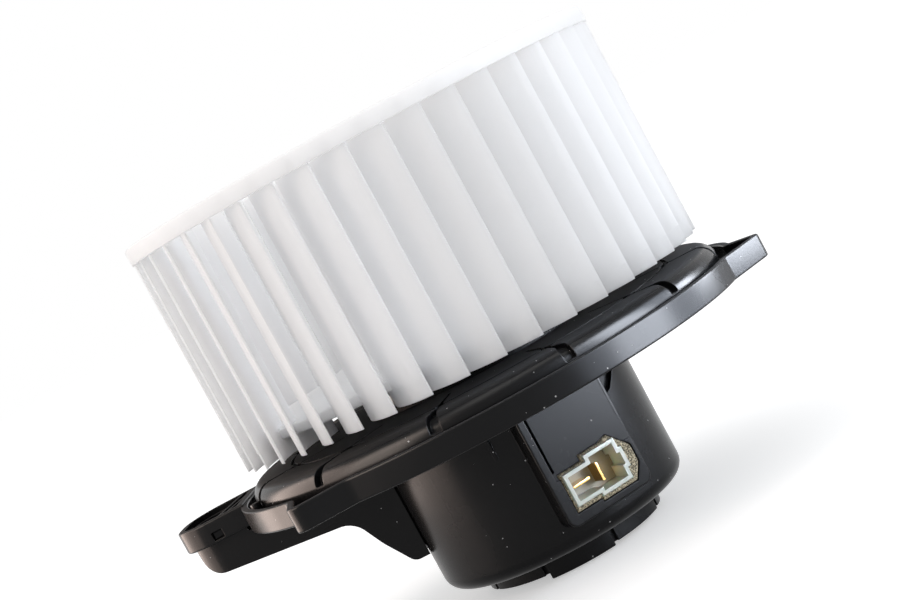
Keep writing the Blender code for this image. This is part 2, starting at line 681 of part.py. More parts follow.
def add_flange(housing):
    inside = plate("pan_inside", [pan_outline(PAN_WALL)], PAN_Z + PAN_FLOOR, PAN_Z + 2.0 * PAN_HEIGHT)
    cut(housing, inside)
    join(housing, turned("plateau", plateau_profile(), HOUSING_STEPS))
    join(housing, turned("cup", cup_profile(), HOUSING_STEPS))
    ceiling = PLATEAU_Z - PLATEAU_ROOF
    hollow_outer = PLATEAU_RADIUS - PLATEAU_SKIRT
    hollow_inner = CUP_RADIUS + ROOT_WALL
    slope = PLATEAU_FILLET + NOTCH_DEPTH / 4.0
    cut(housing, turned("plateau_hollow", [
        (hollow_inner, ceiling), (hollow_outer - slope, ceiling), (hollow_outer, ceiling - slope),
        (hollow_outer, PAN_Z - PAN_FLOOR), (hollow_inner, PAN_Z - PAN_FLOOR),
    ], HOUSING_STEPS))
    half_rib = UNDER_RIB_THICKNESS / 2.0
    join(housing, around("under_ribs", UNDER_RIBS, SEGMENT_FIRST_DEG + 180.0 / SEGMENT_COUNT,
                         (-half_rib, CUP_RADIUS - CUP_WALL / 2.0, PAN_Z + PAN_FLOOR / 4.0),
                         (half_rib, PLATEAU_RADIUS - PLATEAU_SKIRT / 2.0, ceiling + PLATEAU_ROOF / 3.0)))


def add_segments(housing):
    """Grooves that part the plateau's face into pads, with a notch in the rim at each radial groove."""
    over = PLATEAU_Z + PLATEAU_ROOF
    groove_z = PLATEAU_Z - GROOVE_DEPTH
    half = GROOVE_WIDTH / 2.0
    notch_low = PLATEAU_Z - NOTCH_DEPTH
    notch_start = PLATEAU_RADIUS - NOTCH_REACH
    cut(housing, around("grooves", SEGMENT_COUNT, SEGMENT_FIRST_DEG,
                        (-half, GROOVE_INNER_RADIUS, groove_z), (half, notch_start + half, over)))
    ring_z = PLATEAU_Z - RING_GROOVE_DEPTH
    cut(housing, turned("ring_groove", [
        (RING_GROOVE_RADIUS - half, over), (RING_GROOVE_RADIUS + half, over),
        (RING_GROOVE_RADIUS + half, ring_z), (RING_GROOVE_RADIUS - half, ring_z),
    ], HOUSING_STEPS))
    cut(housing, around("notches", SEGMENT_COUNT, SEGMENT_FIRST_DEG,
                        (-NOTCH_WIDTH / 2.0, notch_start, notch_low),
                        (NOTCH_WIDTH / 2.0, PLATEAU_RADIUS + NOTCH_REACH, over)))


def add_pad(housing):
    foot = LIP_Z + PAD_FOOT
    top = PLATEAU_Z - PLATEAU_ROOF / 3.0
    outline = rounded([
        (-PAD_LEFT, foot, PAD_CORNER), (PAD_RIGHT, foot, PAD_CORNER),
        (PAD_RIGHT, top, 0.0), (-PAD_LEFT, top, 0.0),
    ])
    join(housing, plate("pad", [outline], BORE_RADIUS / 2.0, PAD_DISTANCE, frame=pad_frame()))


def cut_pad(housing):
    """The sunk panel over the connector, the slot beside it, the foam's pocket and the shell's way in."""
    frame = pad_frame()
    outside = PAD_DISTANCE + PANEL_DEPTH
    left = -PAD_LEFT + PANEL_STRIP
    right = PAD_RIGHT - PANEL_RIDGE
    low = LIP_Z + PAD_FOOT + PANEL_FOOT
    high = PAN_Z + PAN_FLOOR / 3.0
    cut(housing, block("panel", (left, low, PAD_DISTANCE - PANEL_DEPTH), (right, high, outside), frame=frame))
    edge = PANEL_GROOVE_WIDTH / 8.0
    cut(housing, block("panel_slot", (left + edge, seal_corners(SEAT_GAP)[-1][1] + edge,
                                      PAD_DISTANCE - PANEL_DEPTH - PANEL_GROOVE_DEPTH),
                       (left + PANEL_GROOVE_WIDTH, high - PAN_FLOOR, outside), frame=frame))
    cut(housing, plate("seal_pocket", [seal_corners(SEAT_GAP)], PAD_DISTANCE - SEAL_DEPTH - SEAT_GAP, outside,
                       frame=frame))
    cut(housing, plate("shell_way", [shell_corners(SEAT_GAP)], BORE_RADIUS / 2.0, outside, frame=frame))


def add_tray(housing):
    frame = duct_frame()
    start = PAN_RADIUS - PAN_WALL + PAN_WALL / 20.0
    outer = rounded(tray_corners(TRAY_REACH, TRAY_HALF_WIDTH, TRAY_CORNER, start), 5)
    join(housing, plate("tray", [outer], PAN_Z + TRAY_FOOT, PAN_Z + TRAY_TOP, frame=frame))
    inner = rounded(tray_corners(TRAY_REACH - TRAY_WALL, TRAY_HALF_WIDTH - TRAY_WALL, TRAY_CORNER - TRAY_WALL,
                                 PAN_RADIUS + SEAT_GAP), 5)
    cut(housing, plate("tray_inside", [inner], PAN_Z - TRAY_FOOT, PAN_Z + TRAY_TOP + TRAY_WALL, frame=frame))
    window_low = PAN_Z + TRAY_FOOT + LATCH_HEIGHT / 3.0
    window_high = window_low + LATCH_HEIGHT + 2.0 * SEAT_GAP
    reach = LATCH_WIDTH / 2.0 + SEAT_GAP
    cut(housing, block("latch_window", (LATCH_REACH - reach, TRAY_HALF_WIDTH - 1.5 * TRAY_WALL, window_low),
                       (LATCH_REACH + reach, TRAY_HALF_WIDTH + TRAY_WALL, window_high), frame=frame))
    window_top = PAN_Z - AIR_WINDOW_DROP
    window_low = window_top - AIR_WINDOW_HEIGHT
    cut(housing, block("air_window", (BORE_RADIUS / 2.0, -AIR_WINDOW_HALF_WIDTH, window_low),
                       (CUP_RADIUS + ROOT_WALL, AIR_WINDOW_HALF_WIDTH, window_top), frame=frame))


def motor_housing():
    finish = material("black_plastic", *BLACK_PLASTIC)
    housing = plate("motor_housing", [pan_outline(0.0)], PAN_Z, PAN_Z + PAN_HEIGHT, finish)
    add_flange(housing)
    add_pad(housing)
    add_tray(housing)
    roof_foot = PLATEAU_Z - PLATEAU_ROOF - CUP_WALL / 4.0
    hole = CAP_RADIUS + CAP_HOLE_CLEARANCE
    cut(housing, turned("bore", [
        (0.0, PLATEAU_Z + PLATEAU_ROOF), (CENTRE_HOLE_RADIUS, PLATEAU_Z + PLATEAU_ROOF),
        (CENTRE_HOLE_RADIUS, roof_foot), (BORE_RADIUS, roof_foot), (BORE_RADIUS, FLOOR_Z),
        (hole, FLOOR_Z), (hole, LIP_Z - CUP_FLOOR), (0.0, LIP_Z - CUP_FLOOR),
    ], HOUSING_STEPS, start_deg=180.0 / HOUSING_STEPS))
    cut_pad(housing)
    add_segments(housing)
    holes = []
    for centre, _, _, _ in EARS:
        x, y = heading(centre) * EAR_HOLE_CIRCLE
        holes.append(rod("ear_hole", EAR_HOLE_RADIUS, PAN_Z - PAN_FLOOR, PAN_Z + 2.0 * PAN_FLOOR, x, y, 16))
    cut(housing, gathered("ear_holes", holes))
    return roof_foot


# Cooling duct: a thin black moulding. Its mouth sits in the tray and its throat drops beside the cup.
def duct_side(wall):
    """Side outline of the duct, moved inwards by a wall. Both ends run past their trims."""
    seat = PAN_Z - SEAT_GAP
    over = PAN_Z + 2.0 * TRAY_TOP
    tip = TRAY_REACH - TRAY_WALL - SEAT_GAP
    mouth = PAN_RADIUS + 2.0 * SEAT_GAP
    heel = PAN_Z - DUCT_HEEL_DEPTH
    end = BORE_RADIUS - CUP_WALL
    corners = [
        (end, heel, 0.0), (DUCT_NECK_REACH - 1.2 * CUP_WALL, heel, 3.0 * MM),
        (DUCT_NECK_REACH + CUP_WALL, heel + 9.0 * MM, 12.0 * MM),
        (DUCT_THROAT_REACH - CUP_WALL, PAN_Z - DUCT_THROAT_DEPTH - 0.5 * MM, 7.0 * MM),
        (DUCT_THROAT_REACH, PAN_Z - DUCT_THROAT_DEPTH, 0.0),
        (tip - 1.5 * MM, PAN_Z - DUCT_TIP_DEPTH, 6.5 * MM),
        (tip, over, 0.0), (mouth, over, 0.0), (mouth, seat, 0.0), (end, seat, 0.0),
    ]
    return rounded(inset(corners, wall), 4)


def duct_solid(name, wall, top, finish=None):
    half = TRAY_HALF_WIDTH - TRAY_WALL - SEAT_GAP
    tip = TRAY_REACH - TRAY_WALL - SEAT_GAP
    corner = TRAY_CORNER - TRAY_WALL - SEAT_GAP
    body = plate(name, [duct_side(wall)], wall - half, half - wall, finish, duct_side_frame())
    plan = rounded(tray_corners(tip - wall, half - wall, corner - wall, CUP_WALL), 5)
    keep(body, plate(name + "_plan", [plan], LIP_Z, top, frame=duct_frame()))
    return body


def cooling_duct():
    finish = material("duct_black_plastic", *BLACK_PLASTIC)
    top = PAN_Z + TRAY_TOP - DUCT_SINK
    duct = duct_solid("cooling_duct", 0.0, top, finish)
    cut(duct, duct_solid("duct_inside", DUCT_WALL, top + TRAY_TOP))
    cut(duct, rod("cup_clearance", CUP_RADIUS + SEAT_GAP, LIP_Z - CUP_FLOOR, PLATEAU_Z, steps=HOUSING_STEPS))
    front = TRAY_HALF_WIDTH - TRAY_WALL - SEAT_GAP
    low = PAN_Z + TRAY_FOOT + LATCH_HEIGHT / 3.0 + SEAT_GAP
    join(duct, block("latch", (LATCH_REACH - LATCH_WIDTH / 2.0, front - DUCT_WALL / 2.0, low),
                     (LATCH_REACH + LATCH_WIDTH / 2.0, front + LATCH_PROUD, low + LATCH_HEIGHT),
                     frame=duct_frame()))


# End cap: a black plug in the cup's floor, held by its flange, with a lobed rim to grip.
def end_cap():
    finish = material("cap_black_plastic", *BLACK_PLASTIC)
    bore = CAP_RADIUS - CAP_RING_WALL
    flange = CAP_RADIUS + CAP_HOLE_CLEARANCE + CAP_FLANGE_MARGIN
    cap = turned("end_cap", [
        (0.0, CAP_WEB_LIFT + CAP_WEB), (bore, CAP_WEB_LIFT + CAP_WEB), (bore, CAP_FLANGE_Z + CAP_FLANGE),
        (flange, CAP_FLANGE_Z + CAP_FLANGE), (flange, CAP_FLANGE_Z), (CAP_RADIUS, CAP_FLANGE_Z),
        (CAP_RADIUS, 0.0), (bore, 0.0), (bore - CAP_WEB / 2.0, CAP_WEB_LIFT),
        (CAP_BOSS_RADIUS + CAP_WEB / 2.0, CAP_WEB_LIFT), (CAP_BOSS_RADIUS, 0.0), (0.0, 0.0),
    ], CAN_STEPS, finish)
    half = CAP_SLOT_WIDTH / 2.0
    cut(cap, around("cap_slots", CAP_LOBES, CAP_FIRST_SLOT_DEG,
                    (-half, CAP_RADIUS - CAP_SLOT_DEPTH, -CAP_DROP),
                    (half, 2.0 * CAP_RADIUS, LIP_Z - SEAT_GAP)))
    pitch = 360.0 / CAP_LOBES
    overlap = 0.4
    for index, lift in CAP_SHORT_LOBES:
        start = CAP_FIRST_SLOT_DEG + pitch * index - 90.0 - overlap
        end = start + pitch + 2.0 * overlap
        outline = arc(0.0, 0.0, 1.2 * CAP_RADIUS, start, end, 6)
        outline += arc(0.0, 0.0, bore - CAP_WEB, end, start, 6)
        cut(cap, plate("short_lobe", [outline], -CAP_DROP, lift))


# Connector: nylon shell in the pad, two brass blades and the foam round it.
def connector():
    frame = pad_frame()
    face = PAD_DISTANCE + SHELL_PROUD
    back = face - SHELL_DEPTH
    shell = plate("connector_shell", [shell_corners(0.0)], back, face, material("nylon", *NYLON), frame)
    cavity = plate("shell_cavity", [shell_corners(-SHELL_WALL)], back + SHELL_BACK, face + SHELL_PROUD,
                   frame=frame)
    cut(shell, cavity)
    foot = LIP_Z + SHELL_FOOT
    middle = foot + SHELL_STEP_DROP + SHELL_LOW_CELL_HEIGHT / 2.0
    tip = face - TERMINAL_SET_BACK
    half = TERMINAL_THICKNESS / 2.0
    wide = TERMINAL_WIDTH / 2.0
    gap = SEAT_GAP
    low_flat = middle - half
    finish = material("brass", *BRASS)
    blades = (
        ("terminal_flat", (TERMINAL_FLAT_X - wide, low_flat), (TERMINAL_FLAT_X + wide, middle + half)),
        ("terminal_upright", (TERMINAL_UPRIGHT_X - half, middle - wide),
         (TERMINAL_UPRIGHT_X + half, middle + wide)),
    )
    for name, (left, low), (right, high) in blades:
        blade = block(name, (left, low, tip - TERMINAL_LENGTH), (right, high, tip), finish, frame)
        leg_foot = CARD_TOP_Z + gap
        leg_end = tip - TERMINAL_LENGTH + TERMINAL_THICKNESS
        leg = block(name + "_leg", (left + half / 2.0, leg_foot, tip - TERMINAL_LENGTH - half),
                    (right - half / 2.0, (low + high) / 2.0, leg_end), frame=frame)
        join(blade, leg)
        cut(shell, block(name + "_slot", (left - gap, low - gap, back - SHELL_BACK),
                         (right + gap, high + gap, back + 2.0 * SHELL_BACK), frame=frame))
    plate("connector_seal", [seal_corners(0.0), shell_corners(SEAT_GAP)], PAD_DISTANCE - SEAL_DEPTH,
          PAD_DISTANCE, material("foam", *FOAM), frame)


# Motor can with its bearing seat, the magnets that it holds, and the clips between them.
def motor_can():
    steel = material("can_steel", *STEEL)
    seat = BEARING_RADIUS + SEAT_GAP
    hole = SHAFT_RADIUS + 4.0 * SEAT_GAP
    boss_top = CAN_TOP + SEAT_BOSS_HEIGHT
    outer = arc(CAN_RADIUS - CAN_CORNER, CAN_TOP - CAN_CORNER, CAN_CORNER, 90.0, 0.0, 2)
    profile = [(hole, boss_top), (SEAT_BOSS_RADIUS, boss_top), (SEAT_BOSS_RADIUS, CAN_TOP)] + outer
    profile += [(CAN_RADIUS, BRACKET_TOP_Z + SEAT_GAP), (CAN_BORE, BRACKET_TOP_Z + SEAT_GAP)]
    profile += [(CAN_BORE, CAN_INSIDE_Z - CAN_WALL), (CAN_BORE - CAN_WALL, CAN_INSIDE_Z)]
    profile += [(seat, CAN_INSIDE_Z), (seat, boss_top - SEAT_LIP), (hole, boss_top - SEAT_LIP)]
    can = turned("motor_can", profile, CAN_STEPS, steel)
    vents = []
    for index in range(CAN_VENTS):
        x, y = heading(CAN_VENT_FIRST_DEG + 360.0 * index / CAN_VENTS) * CAN_VENT_CIRCLE
        vents.append(rod("vent", CAN_VENT_RADIUS, CAN_INSIDE_Z - CAN_WALL, CAN_TOP + CAN_WALL, x, y, 8))
    cut(can, gathered("can_vents", vents))
    left = TERMINAL_FLAT_X - TERMINAL_WIDTH
    right = TERMINAL_UPRIGHT_X + TERMINAL_WIDTH / 2.0
    cut(can, block("terminal_way", (left, CARD_Z - CAN_CORNER - BRACKET_PLATE, CAN_BORE / 2.0),
                   (right, LIP_Z + SHELL_FOOT + SHELL_HIGH_CELL_HEIGHT, CAN_RADIUS + CAN_CORNER),
                   frame=pad_frame()))


def arc_plate(name, inner, outer, middle_deg, span_deg, low, high, steps, finish):
    """A length of ring: a magnet or a clip."""
    start = middle_deg - 90.0 - span_deg / 2.0
    outline = arc(0.0, 0.0, outer, start, start + span_deg, steps)
    outline += arc(0.0, 0.0, inner, start + span_deg, start, steps)
    return plate(name, [outline], low, high, finish)


def magnets():
    ferrite = material("ferrite", *FERRITE)
    spring = material("clip_steel", *STEEL)
    outer = CAN_BORE - SEAT_GAP
    low = CORE_Z - MAGNET_OVERHANG
    high = CORE_TOP_Z + MAGNET_OVERHANG
    for name, middle in (("magnet_left", -90.0), ("magnet_right", 90.0)):
        arc_plate(name, outer - MAGNET_THICKNESS, outer, middle, MAGNET_SPAN_DEG, low, high, 12, ferrite)
    for name, middle in (("magnet_clip_front", 0.0), ("magnet_clip_back", 180.0)):
        clip = arc_plate(name, outer - CLIP_THICKNESS, outer, middle, CLIP_SPAN_DEG, low, high, 4, spring)
        for side in (-1.0, 1.0):
            magnet_end = (180.0 - MAGNET_SPAN_DEG) / 2.0 - math.degrees(SEAT_GAP / outer)
            tab = arc_plate(name + "_tab", outer - MAGNET_THICKNESS / 2.0, outer - CLIP_THICKNESS / 3.0,
                            middle + side * (magnet_end - 1.0), 2.0, low, high, 1, None)
            bridge = arc_plate(name + "_bridge", outer - CLIP_THICKNESS * 0.9, outer - CLIP_THICKNESS * 0.1,
                               middle + side * (magnet_end - 6.0), 10.5, low + CAN_WALL,
                               high - CAN_WALL, 2, None)
            join(clip, bridge)
            join(clip, tab)


def end_bracket():
    seat = BEARING_RADIUS + SEAT_GAP
    foot = BRACKET_Z - BRACKET_HUB_DROP
    turned("end_bracket", [
        (seat, BRACKET_TOP_Z), (CAN_RADIUS - SEAT_GAP, BRACKET_TOP_Z), (CAN_RADIUS - SEAT_GAP, BRACKET_Z),
        (SEAT_BOSS_RADIUS, BRACKET_Z), (SEAT_BOSS_RADIUS, foot), (SHAFT_BORE, foot),
        (SHAFT_BORE, foot + SEAT_LIP), (seat, foot + SEAT_LIP),
    ], CAN_STEPS, material("bracket_steel", *STEEL))
    return foot + SEAT_LIP


def ring(name, inner, outer, low, high, steps, finish):
    return turned(name, [(inner, high), (outer, high), (outer, low), (inner, low)], steps, finish)


def isolators(roof_foot):
    rubber = material("rubber", *RUBBER)
    inner = CAN_RADIUS + SEAT_GAP
    outer = BORE_RADIUS - SEAT_GAP
    lip_inner = CAN_RADIUS - ISOLATOR_LIP_WIDTH
    turned("isolator_lower", [
        (inner, ISOLATOR_Z + ISOLATOR_SLEEVE), (outer, ISOLATOR_Z + ISOLATOR_SLEEVE), (outer, ISOLATOR_Z),
        (lip_inner, ISOLATOR_Z), (lip_inner, ISOLATOR_Z + ISOLATOR_LIP), (inner, ISOLATOR_Z + ISOLATOR_LIP),
    ], CAN_STEPS, rubber)
    top = roof_foot - SEAT_GAP
    ring("isolator_upper", inner, outer, top - ISOLATOR_UPPER_HEIGHT, top, CAN_STEPS, rubber)


# Bearings: sintered bushes, each held in its seat by a spring washer.
def bearings(lower_seat_z):
    bronze = material("sintered_bronze", *BRONZE)
    spring = material("retainer_steel", *STEEL)
    upper_top = CAN_TOP + SEAT_BOSS_HEIGHT - SEAT_LIP - SEAT_GAP
    lows = {"bearing_upper": upper_top - BEARING_HEIGHT, "bearing_lower": lower_seat_z + SEAT_GAP}
    for name, low in lows.items():
        ring(name, SHAFT_BORE, BEARING_RADIUS, low, low + BEARING_HEIGHT, 2 * SMALL_STEPS, bronze)
    inner = SHAFT_RADIUS + 4.0 * SEAT_GAP
    upper = CAN_INSIDE_Z - SEAT_GAP
    ring("bearing_retainer_upper", inner, RETAINER_RADIUS, upper - RETAINER_THICKNESS, upper,
         SMALL_STEPS, spring)
    lower = BRACKET_TOP_Z + SEAT_GAP
    ring("bearing_retainer_lower", inner, RETAINER_RADIUS, lower, lower + RETAINER_THICKNESS,
         SMALL_STEPS, spring)


# Armature: slotted core, coils through its slots and the commutator, all on the shaft.
def core_outline():
    """The core's outer outline with its slots."""
    outline = []
    pitch = 360.0 / CORE_SLOTS
    tip = CORE_RADIUS - CORE_TOOTH_TIP
    for index in range(CORE_SLOTS):
        middle = pitch * index
        mouth = CORE_SLOT_MOUTH_DEG / 2.0
        span = CORE_SLOT_SPAN_DEG / 2.0
        for angle, radius in (
            (-mouth, CORE_RADIUS), (-mouth, tip), (-span, tip),
            (-span / 2.0, CORE_SLOT_ROOT), (span / 2.0, CORE_SLOT_ROOT), (span, tip), (mouth, tip),
            (mouth, CORE_RADIUS),
        ):
            outline.append(tuple(heading(middle + angle) * radius))
    return outline


def round_outline(radius, steps):
    return [tuple(heading(360.0 * index / steps) * radius) for index in range(steps)]


def armature():
    low = CORE_Z
    high = CORE_TOP_Z
    plate("armature_core", [core_outline(), round_outline(SHAFT_BORE, 16)], low, high,
          material("core_steel", (0.30, 0.30, 0.32), 0.5, 0.9))
    copper = material("enamelled_copper", *COPPER)
    head = COIL_HEAD_HEIGHT
    gap = SEAT_GAP
    shoulder = 0.25 * (COIL_HEAD_OUTER - COIL_HEAD_INNER)

    def coil_head(name, near, far, finish=None):
        """One ring of end turns: near lies on the core's side, far is rounded."""
        profile = [(COIL_HEAD_INNER, near), (COIL_HEAD_OUTER, near), (COIL_HEAD_OUTER, (near + far) / 2.0),
                   (COIL_HEAD_OUTER - shoulder, far), (COIL_HEAD_INNER, far)]
        if far > near:
            profile.reverse()
        return turned(name, profile, 2 * CORE_SLOTS, finish)

    winding = coil_head("armature_winding", low - gap, low - gap - head, copper)
    bars = []
    pitch = 360.0 / CORE_SLOTS
    inner = CORE_SLOT_ROOT + 2.0 * gap
    outer = CORE_RADIUS - CORE_TOOTH_TIP - 2.0 * gap
    for index in range(CORE_SLOTS):
        half_in = math.radians(CORE_SLOT_SPAN_DEG / 4.0) * inner - 2.0 * gap
        half_out = math.radians(CORE_SLOT_SPAN_DEG / 2.0) * outer - 3.0 * gap
        outline = [(-half_in, inner), (half_in, inner), (half_out, outer), (-half_out, outer)]
        bars.append(plate("coil_bar", [outline], low - 2.0 * gap - head / 4.0, high + 2.0 * gap + head / 4.0,
                          frame=turned_to(pitch * index)))
    join(winding, gathered("coil_bars", bars))
    join(winding, coil_head("coil_head_top", high + gap, high + gap + head))
    commutator()


def commutator():
    low = COMMUTATOR_Z
    high = low + COMMUTATOR_HEIGHT
    ring_height = COMMUTATOR_HEIGHT / 8.0
    drum = turned("commutator", [
        (SHAFT_BORE, high), (COMMUTATOR_RADIUS + ring_height, high),
        (COMMUTATOR_RADIUS + ring_height, high - ring_height), (COMMUTATOR_RADIUS, high - ring_height),
        (COMMUTATOR_RADIUS, low), (SHAFT_BORE, low),
    ], 2 * COMMUTATOR_BARS, material("commutator_copper", *COPPER))
    half = 0.25 * MM
    cut(drum, around("bar_gaps", COMMUTATOR_BARS, 90.0 / COMMUTATOR_BARS,
                     (-half, COMMUTATOR_RADIUS - 3.0 * half, low - ring_height),
                     (half, 2.0 * COMMUTATOR_RADIUS, high + ring_height)))


def shaft_line(boss_top):
    steel = material("shaft_steel", *STEEL)
    foot = BRACKET_Z - BRACKET_HUB_DROP + SEAT_LIP
    clip_low = boss_top + SEAT_GAP
    top = clip_low + CLIP_RING_THICKNESS + SHAFT_PROUD
    chamfer = SHAFT_RADIUS / 8.0
    shaft = turned("shaft", [
        (0.0, top), (SHAFT_RADIUS - chamfer, top), (SHAFT_RADIUS, top - chamfer),
        (SHAFT_RADIUS, foot + chamfer), (SHAFT_RADIUS - chamfer, foot), (0.0, foot),
    ], SMALL_STEPS, steel)
    flat_low = boss_top - FAN_BOSS_HEIGHT - CLIP_RING_THICKNESS
    cut(shaft, block("shaft_flat", (-2.0 * SHAFT_RADIUS, SHAFT_RADIUS - SHAFT_FLAT, flat_low),
                     (2.0 * SHAFT_RADIUS, 2.0 * SHAFT_RADIUS, top + chamfer)))
    ring("hub_clip", SHAFT_BORE, CLIP_RING_RADIUS, clip_low, clip_low + CLIP_RING_THICKNESS, SMALL_STEPS,
         material("clip_spring_steel", *STEEL))
    washer = material("washer_plastic", (0.75, 0.72, 0.62), 0.5)
    low = COMMUTATOR_Z - SEAT_GAP - WASHER_THICKNESS
    ring("thrust_washer_lower", SHAFT_BORE, WASHER_RADIUS, low, low + WASHER_THICKNESS, SMALL_STEPS, washer)
    upper = CAN_INSIDE_Z - RETAINER_THICKNESS - 2.0 * SEAT_GAP - WASHER_THICKNESS
    ring("thrust_washer_upper", SHAFT_BORE, WASHER_RADIUS, upper, upper + WASHER_THICKNESS,
         SMALL_STEPS, washer)


# Brush gear: brass boxes on the card, each with a carbon brush and the spring behind it, and two chokes.
def brush_gear():
    edge = round_outline(CAN_BORE - SEAT_GAP, 24)
    hole = round_outline(CARD_HOLE_RADIUS, SMALL_STEPS)
    plate("brush_card", [edge, hole], CARD_Z, CARD_TOP_Z, material("card_plastic", *CARD_PLASTIC))
    brass = material("holder_brass", *BRASS)
    carbon = material("carbon", *CARBON)
    spring = material("spring_steel", *STEEL)
    floor = CARD_TOP_Z + SEAT_GAP
    box_start = COMMUTATOR_RADIUS + HOLDER_CLEARANCE
    box_end = CAN_BORE - HOLDER_SET_IN
    inner = BRUSH_WIDTH / 2.0 + SEAT_GAP
    brush_low = floor + HOLDER_WALL + SEAT_GAP
    brush_high = brush_low + BRUSH_HEIGHT
    box_top = brush_high + SEAT_GAP + HOLDER_WALL
    brush_start = COMMUTATOR_RADIUS + SEAT_GAP
    brush_end = brush_start + BRUSH_SHARE * (box_end - brush_start)
    for side, angle in (("left", -90.0), ("right", 90.0)):
        frame = turned_to(angle)
        holder = block("brush_holder_" + side, (-inner - HOLDER_WALL, box_start, floor),
                       (inner + HOLDER_WALL, box_end, box_top), brass, frame)
        cut(holder, block("holder_bore_" + side, (-inner, box_start - HOLDER_CLEARANCE, floor + HOLDER_WALL),
                          (inner, box_end - HOLDER_WALL, brush_high + SEAT_GAP), frame=frame))
        block("brush_" + side, (-BRUSH_WIDTH / 2.0, brush_start, brush_low),
              (BRUSH_WIDTH / 2.0, brush_end, brush_high), carbon, frame)
        coil_spring("brush_spring_" + side, brush_end + SEAT_GAP, box_end - HOLDER_WALL - SEAT_GAP,
                    (brush_low + brush_high) / 2.0, frame, spring)
    for name, angle in (("choke_front", 0.0), ("choke_back", 180.0)):
        choke(name, angle, floor)


def coil_spring(name, start, end, height, frame, finish):
    """A helix along its frame's Y, with its wire inside the two ends."""
    curve = bpy.data.curves.new(name, "CURVE")
    curve.dimensions = "3D"
    curve.bevel_depth = SPRING_WIRE
    curve.bevel_resolution = 0
    curve.use_fill_caps = True
    steps = 8 * SPRING_TURNS
    spline = curve.splines.new("POLY")
    spline.points.add(steps)
    first = start + 2.0 * SPRING_WIRE
    last = end - 2.0 * SPRING_WIRE
    for index, point in enumerate(spline.points):
        angle = math.tau * SPRING_TURNS * index / steps
        place = frame @ Vector((SPRING_RADIUS * math.cos(angle), first + (last - first) * index / steps,
                                height + SPRING_RADIUS * math.sin(angle)))
        point.co = (*place, 1.0)
    thing = bpy.data.objects.new(name, curve)
    model.objects.link(thing)
    curve.materials.append(finish)


def choke(name, angle_deg, floor):
    """A wound rod that lies on the card across a radius."""
    profile = [(0.0, CHOKE_LENGTH / 2.0), (0.6 * CHOKE_RADIUS, CHOKE_LENGTH / 2.0)]
    wound = 0.7 * CHOKE_LENGTH
    pitch = wound / CHOKE_TURNS
    profile.append((0.6 * CHOKE_RADIUS, wound / 2.0))
    for index in range(CHOKE_TURNS):
        top = wound / 2.0 - pitch * index
        profile.append((CHOKE_RADIUS, top - 0.3 * pitch))
        profile.append((CHOKE_RADIUS, top - 0.7 * pitch))
        profile.append((0.8 * CHOKE_RADIUS, top - pitch))
    profile += [(0.6 * CHOKE_RADIUS, -wound / 2.0), (0.6 * CHOKE_RADIUS, -CHOKE_LENGTH / 2.0)]
    profile.append((0.0, -CHOKE_LENGTH / 2.0))
    rod_piece = turned(name, profile, 8, material("choke_copper", *COPPER))
    place = turned_to(angle_deg) @ Matrix.Translation((0.0, CHOKE_CIRCLE, floor + CHOKE_RADIUS))
    rod_piece.matrix_world = place @ Matrix.Rotation(math.radians(90.0), 4, "Y")


def rotor_parent():
    """The rotor's pieces hang on one empty on the spin axis."""
    axis = bpy.data.objects.new("rotor_axis", None)
    model.objects.link(axis)
    for name in ("fan_wheel", "fan_blades", "hub_clip", "shaft", "armature_core", "armature_winding",
                 "commutator", "thrust_washer_lower", "thrust_washer_upper"):
        bpy.data.objects[name].parent = axis


clear_scene()
boss_top_z = fan_wheel()
roof_foot_z = motor_housing()
cooling_duct()
end_cap()
connector()
motor_can()
magnets()
isolators(roof_foot_z)
bearings(end_bracket())
armature()
shaft_line(boss_top_z)
brush_gear()
rotor_parent()
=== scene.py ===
import math

import bmesh
import bpy
from mathutils import Matrix, Vector


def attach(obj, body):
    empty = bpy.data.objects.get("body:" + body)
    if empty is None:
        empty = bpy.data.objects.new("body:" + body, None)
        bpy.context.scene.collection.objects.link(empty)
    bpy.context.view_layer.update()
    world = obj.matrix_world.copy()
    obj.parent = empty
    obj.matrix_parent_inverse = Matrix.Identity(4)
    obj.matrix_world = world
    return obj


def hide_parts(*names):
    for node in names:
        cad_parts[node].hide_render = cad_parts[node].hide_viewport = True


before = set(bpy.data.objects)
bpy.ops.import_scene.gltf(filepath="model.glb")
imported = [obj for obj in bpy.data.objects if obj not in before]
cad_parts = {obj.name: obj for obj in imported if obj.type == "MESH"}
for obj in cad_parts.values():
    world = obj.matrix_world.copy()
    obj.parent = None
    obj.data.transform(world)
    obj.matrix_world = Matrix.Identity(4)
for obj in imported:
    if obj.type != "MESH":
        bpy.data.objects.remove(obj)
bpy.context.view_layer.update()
mm = 0.001


# ## Motor housing
# One black glass-filled polypropylene moulding: a flange pan with three screw ears, a raised plateau
# under the fan wheel, a deep cup for the motor, a pad for the connector and a tray for the duct.
lip_z = 6.3 * mm
floor_z = 8.8 * mm
pan_z = 51.2 * mm
plateau_z = 62.6 * mm
cup_radius = 39.4 * mm
cup_bore = 36.7 * mm
pan_radius = 81.5 * mm
pan_wall = 2.2 * mm
pan_floor = 2.2 * mm
pan_height = 7.0 * mm
plateau_radius = 76.5 * mm
plateau_fillet = 4.8 * mm
plateau_roof = 2.4 * mm
hair = 0.3 * mm
round_steps = 144


def heading(angle_deg):
    """Unit vector in plan at an angle counted from the front towards the right."""
    angle = math.radians(angle_deg)
    return Vector((math.sin(angle), -math.cos(angle)))


def turned_to(angle_deg):
    """Frame whose +Y points out along a heading."""
    return Matrix.Rotation(math.radians(angle_deg + 180.0), 4, "Z")


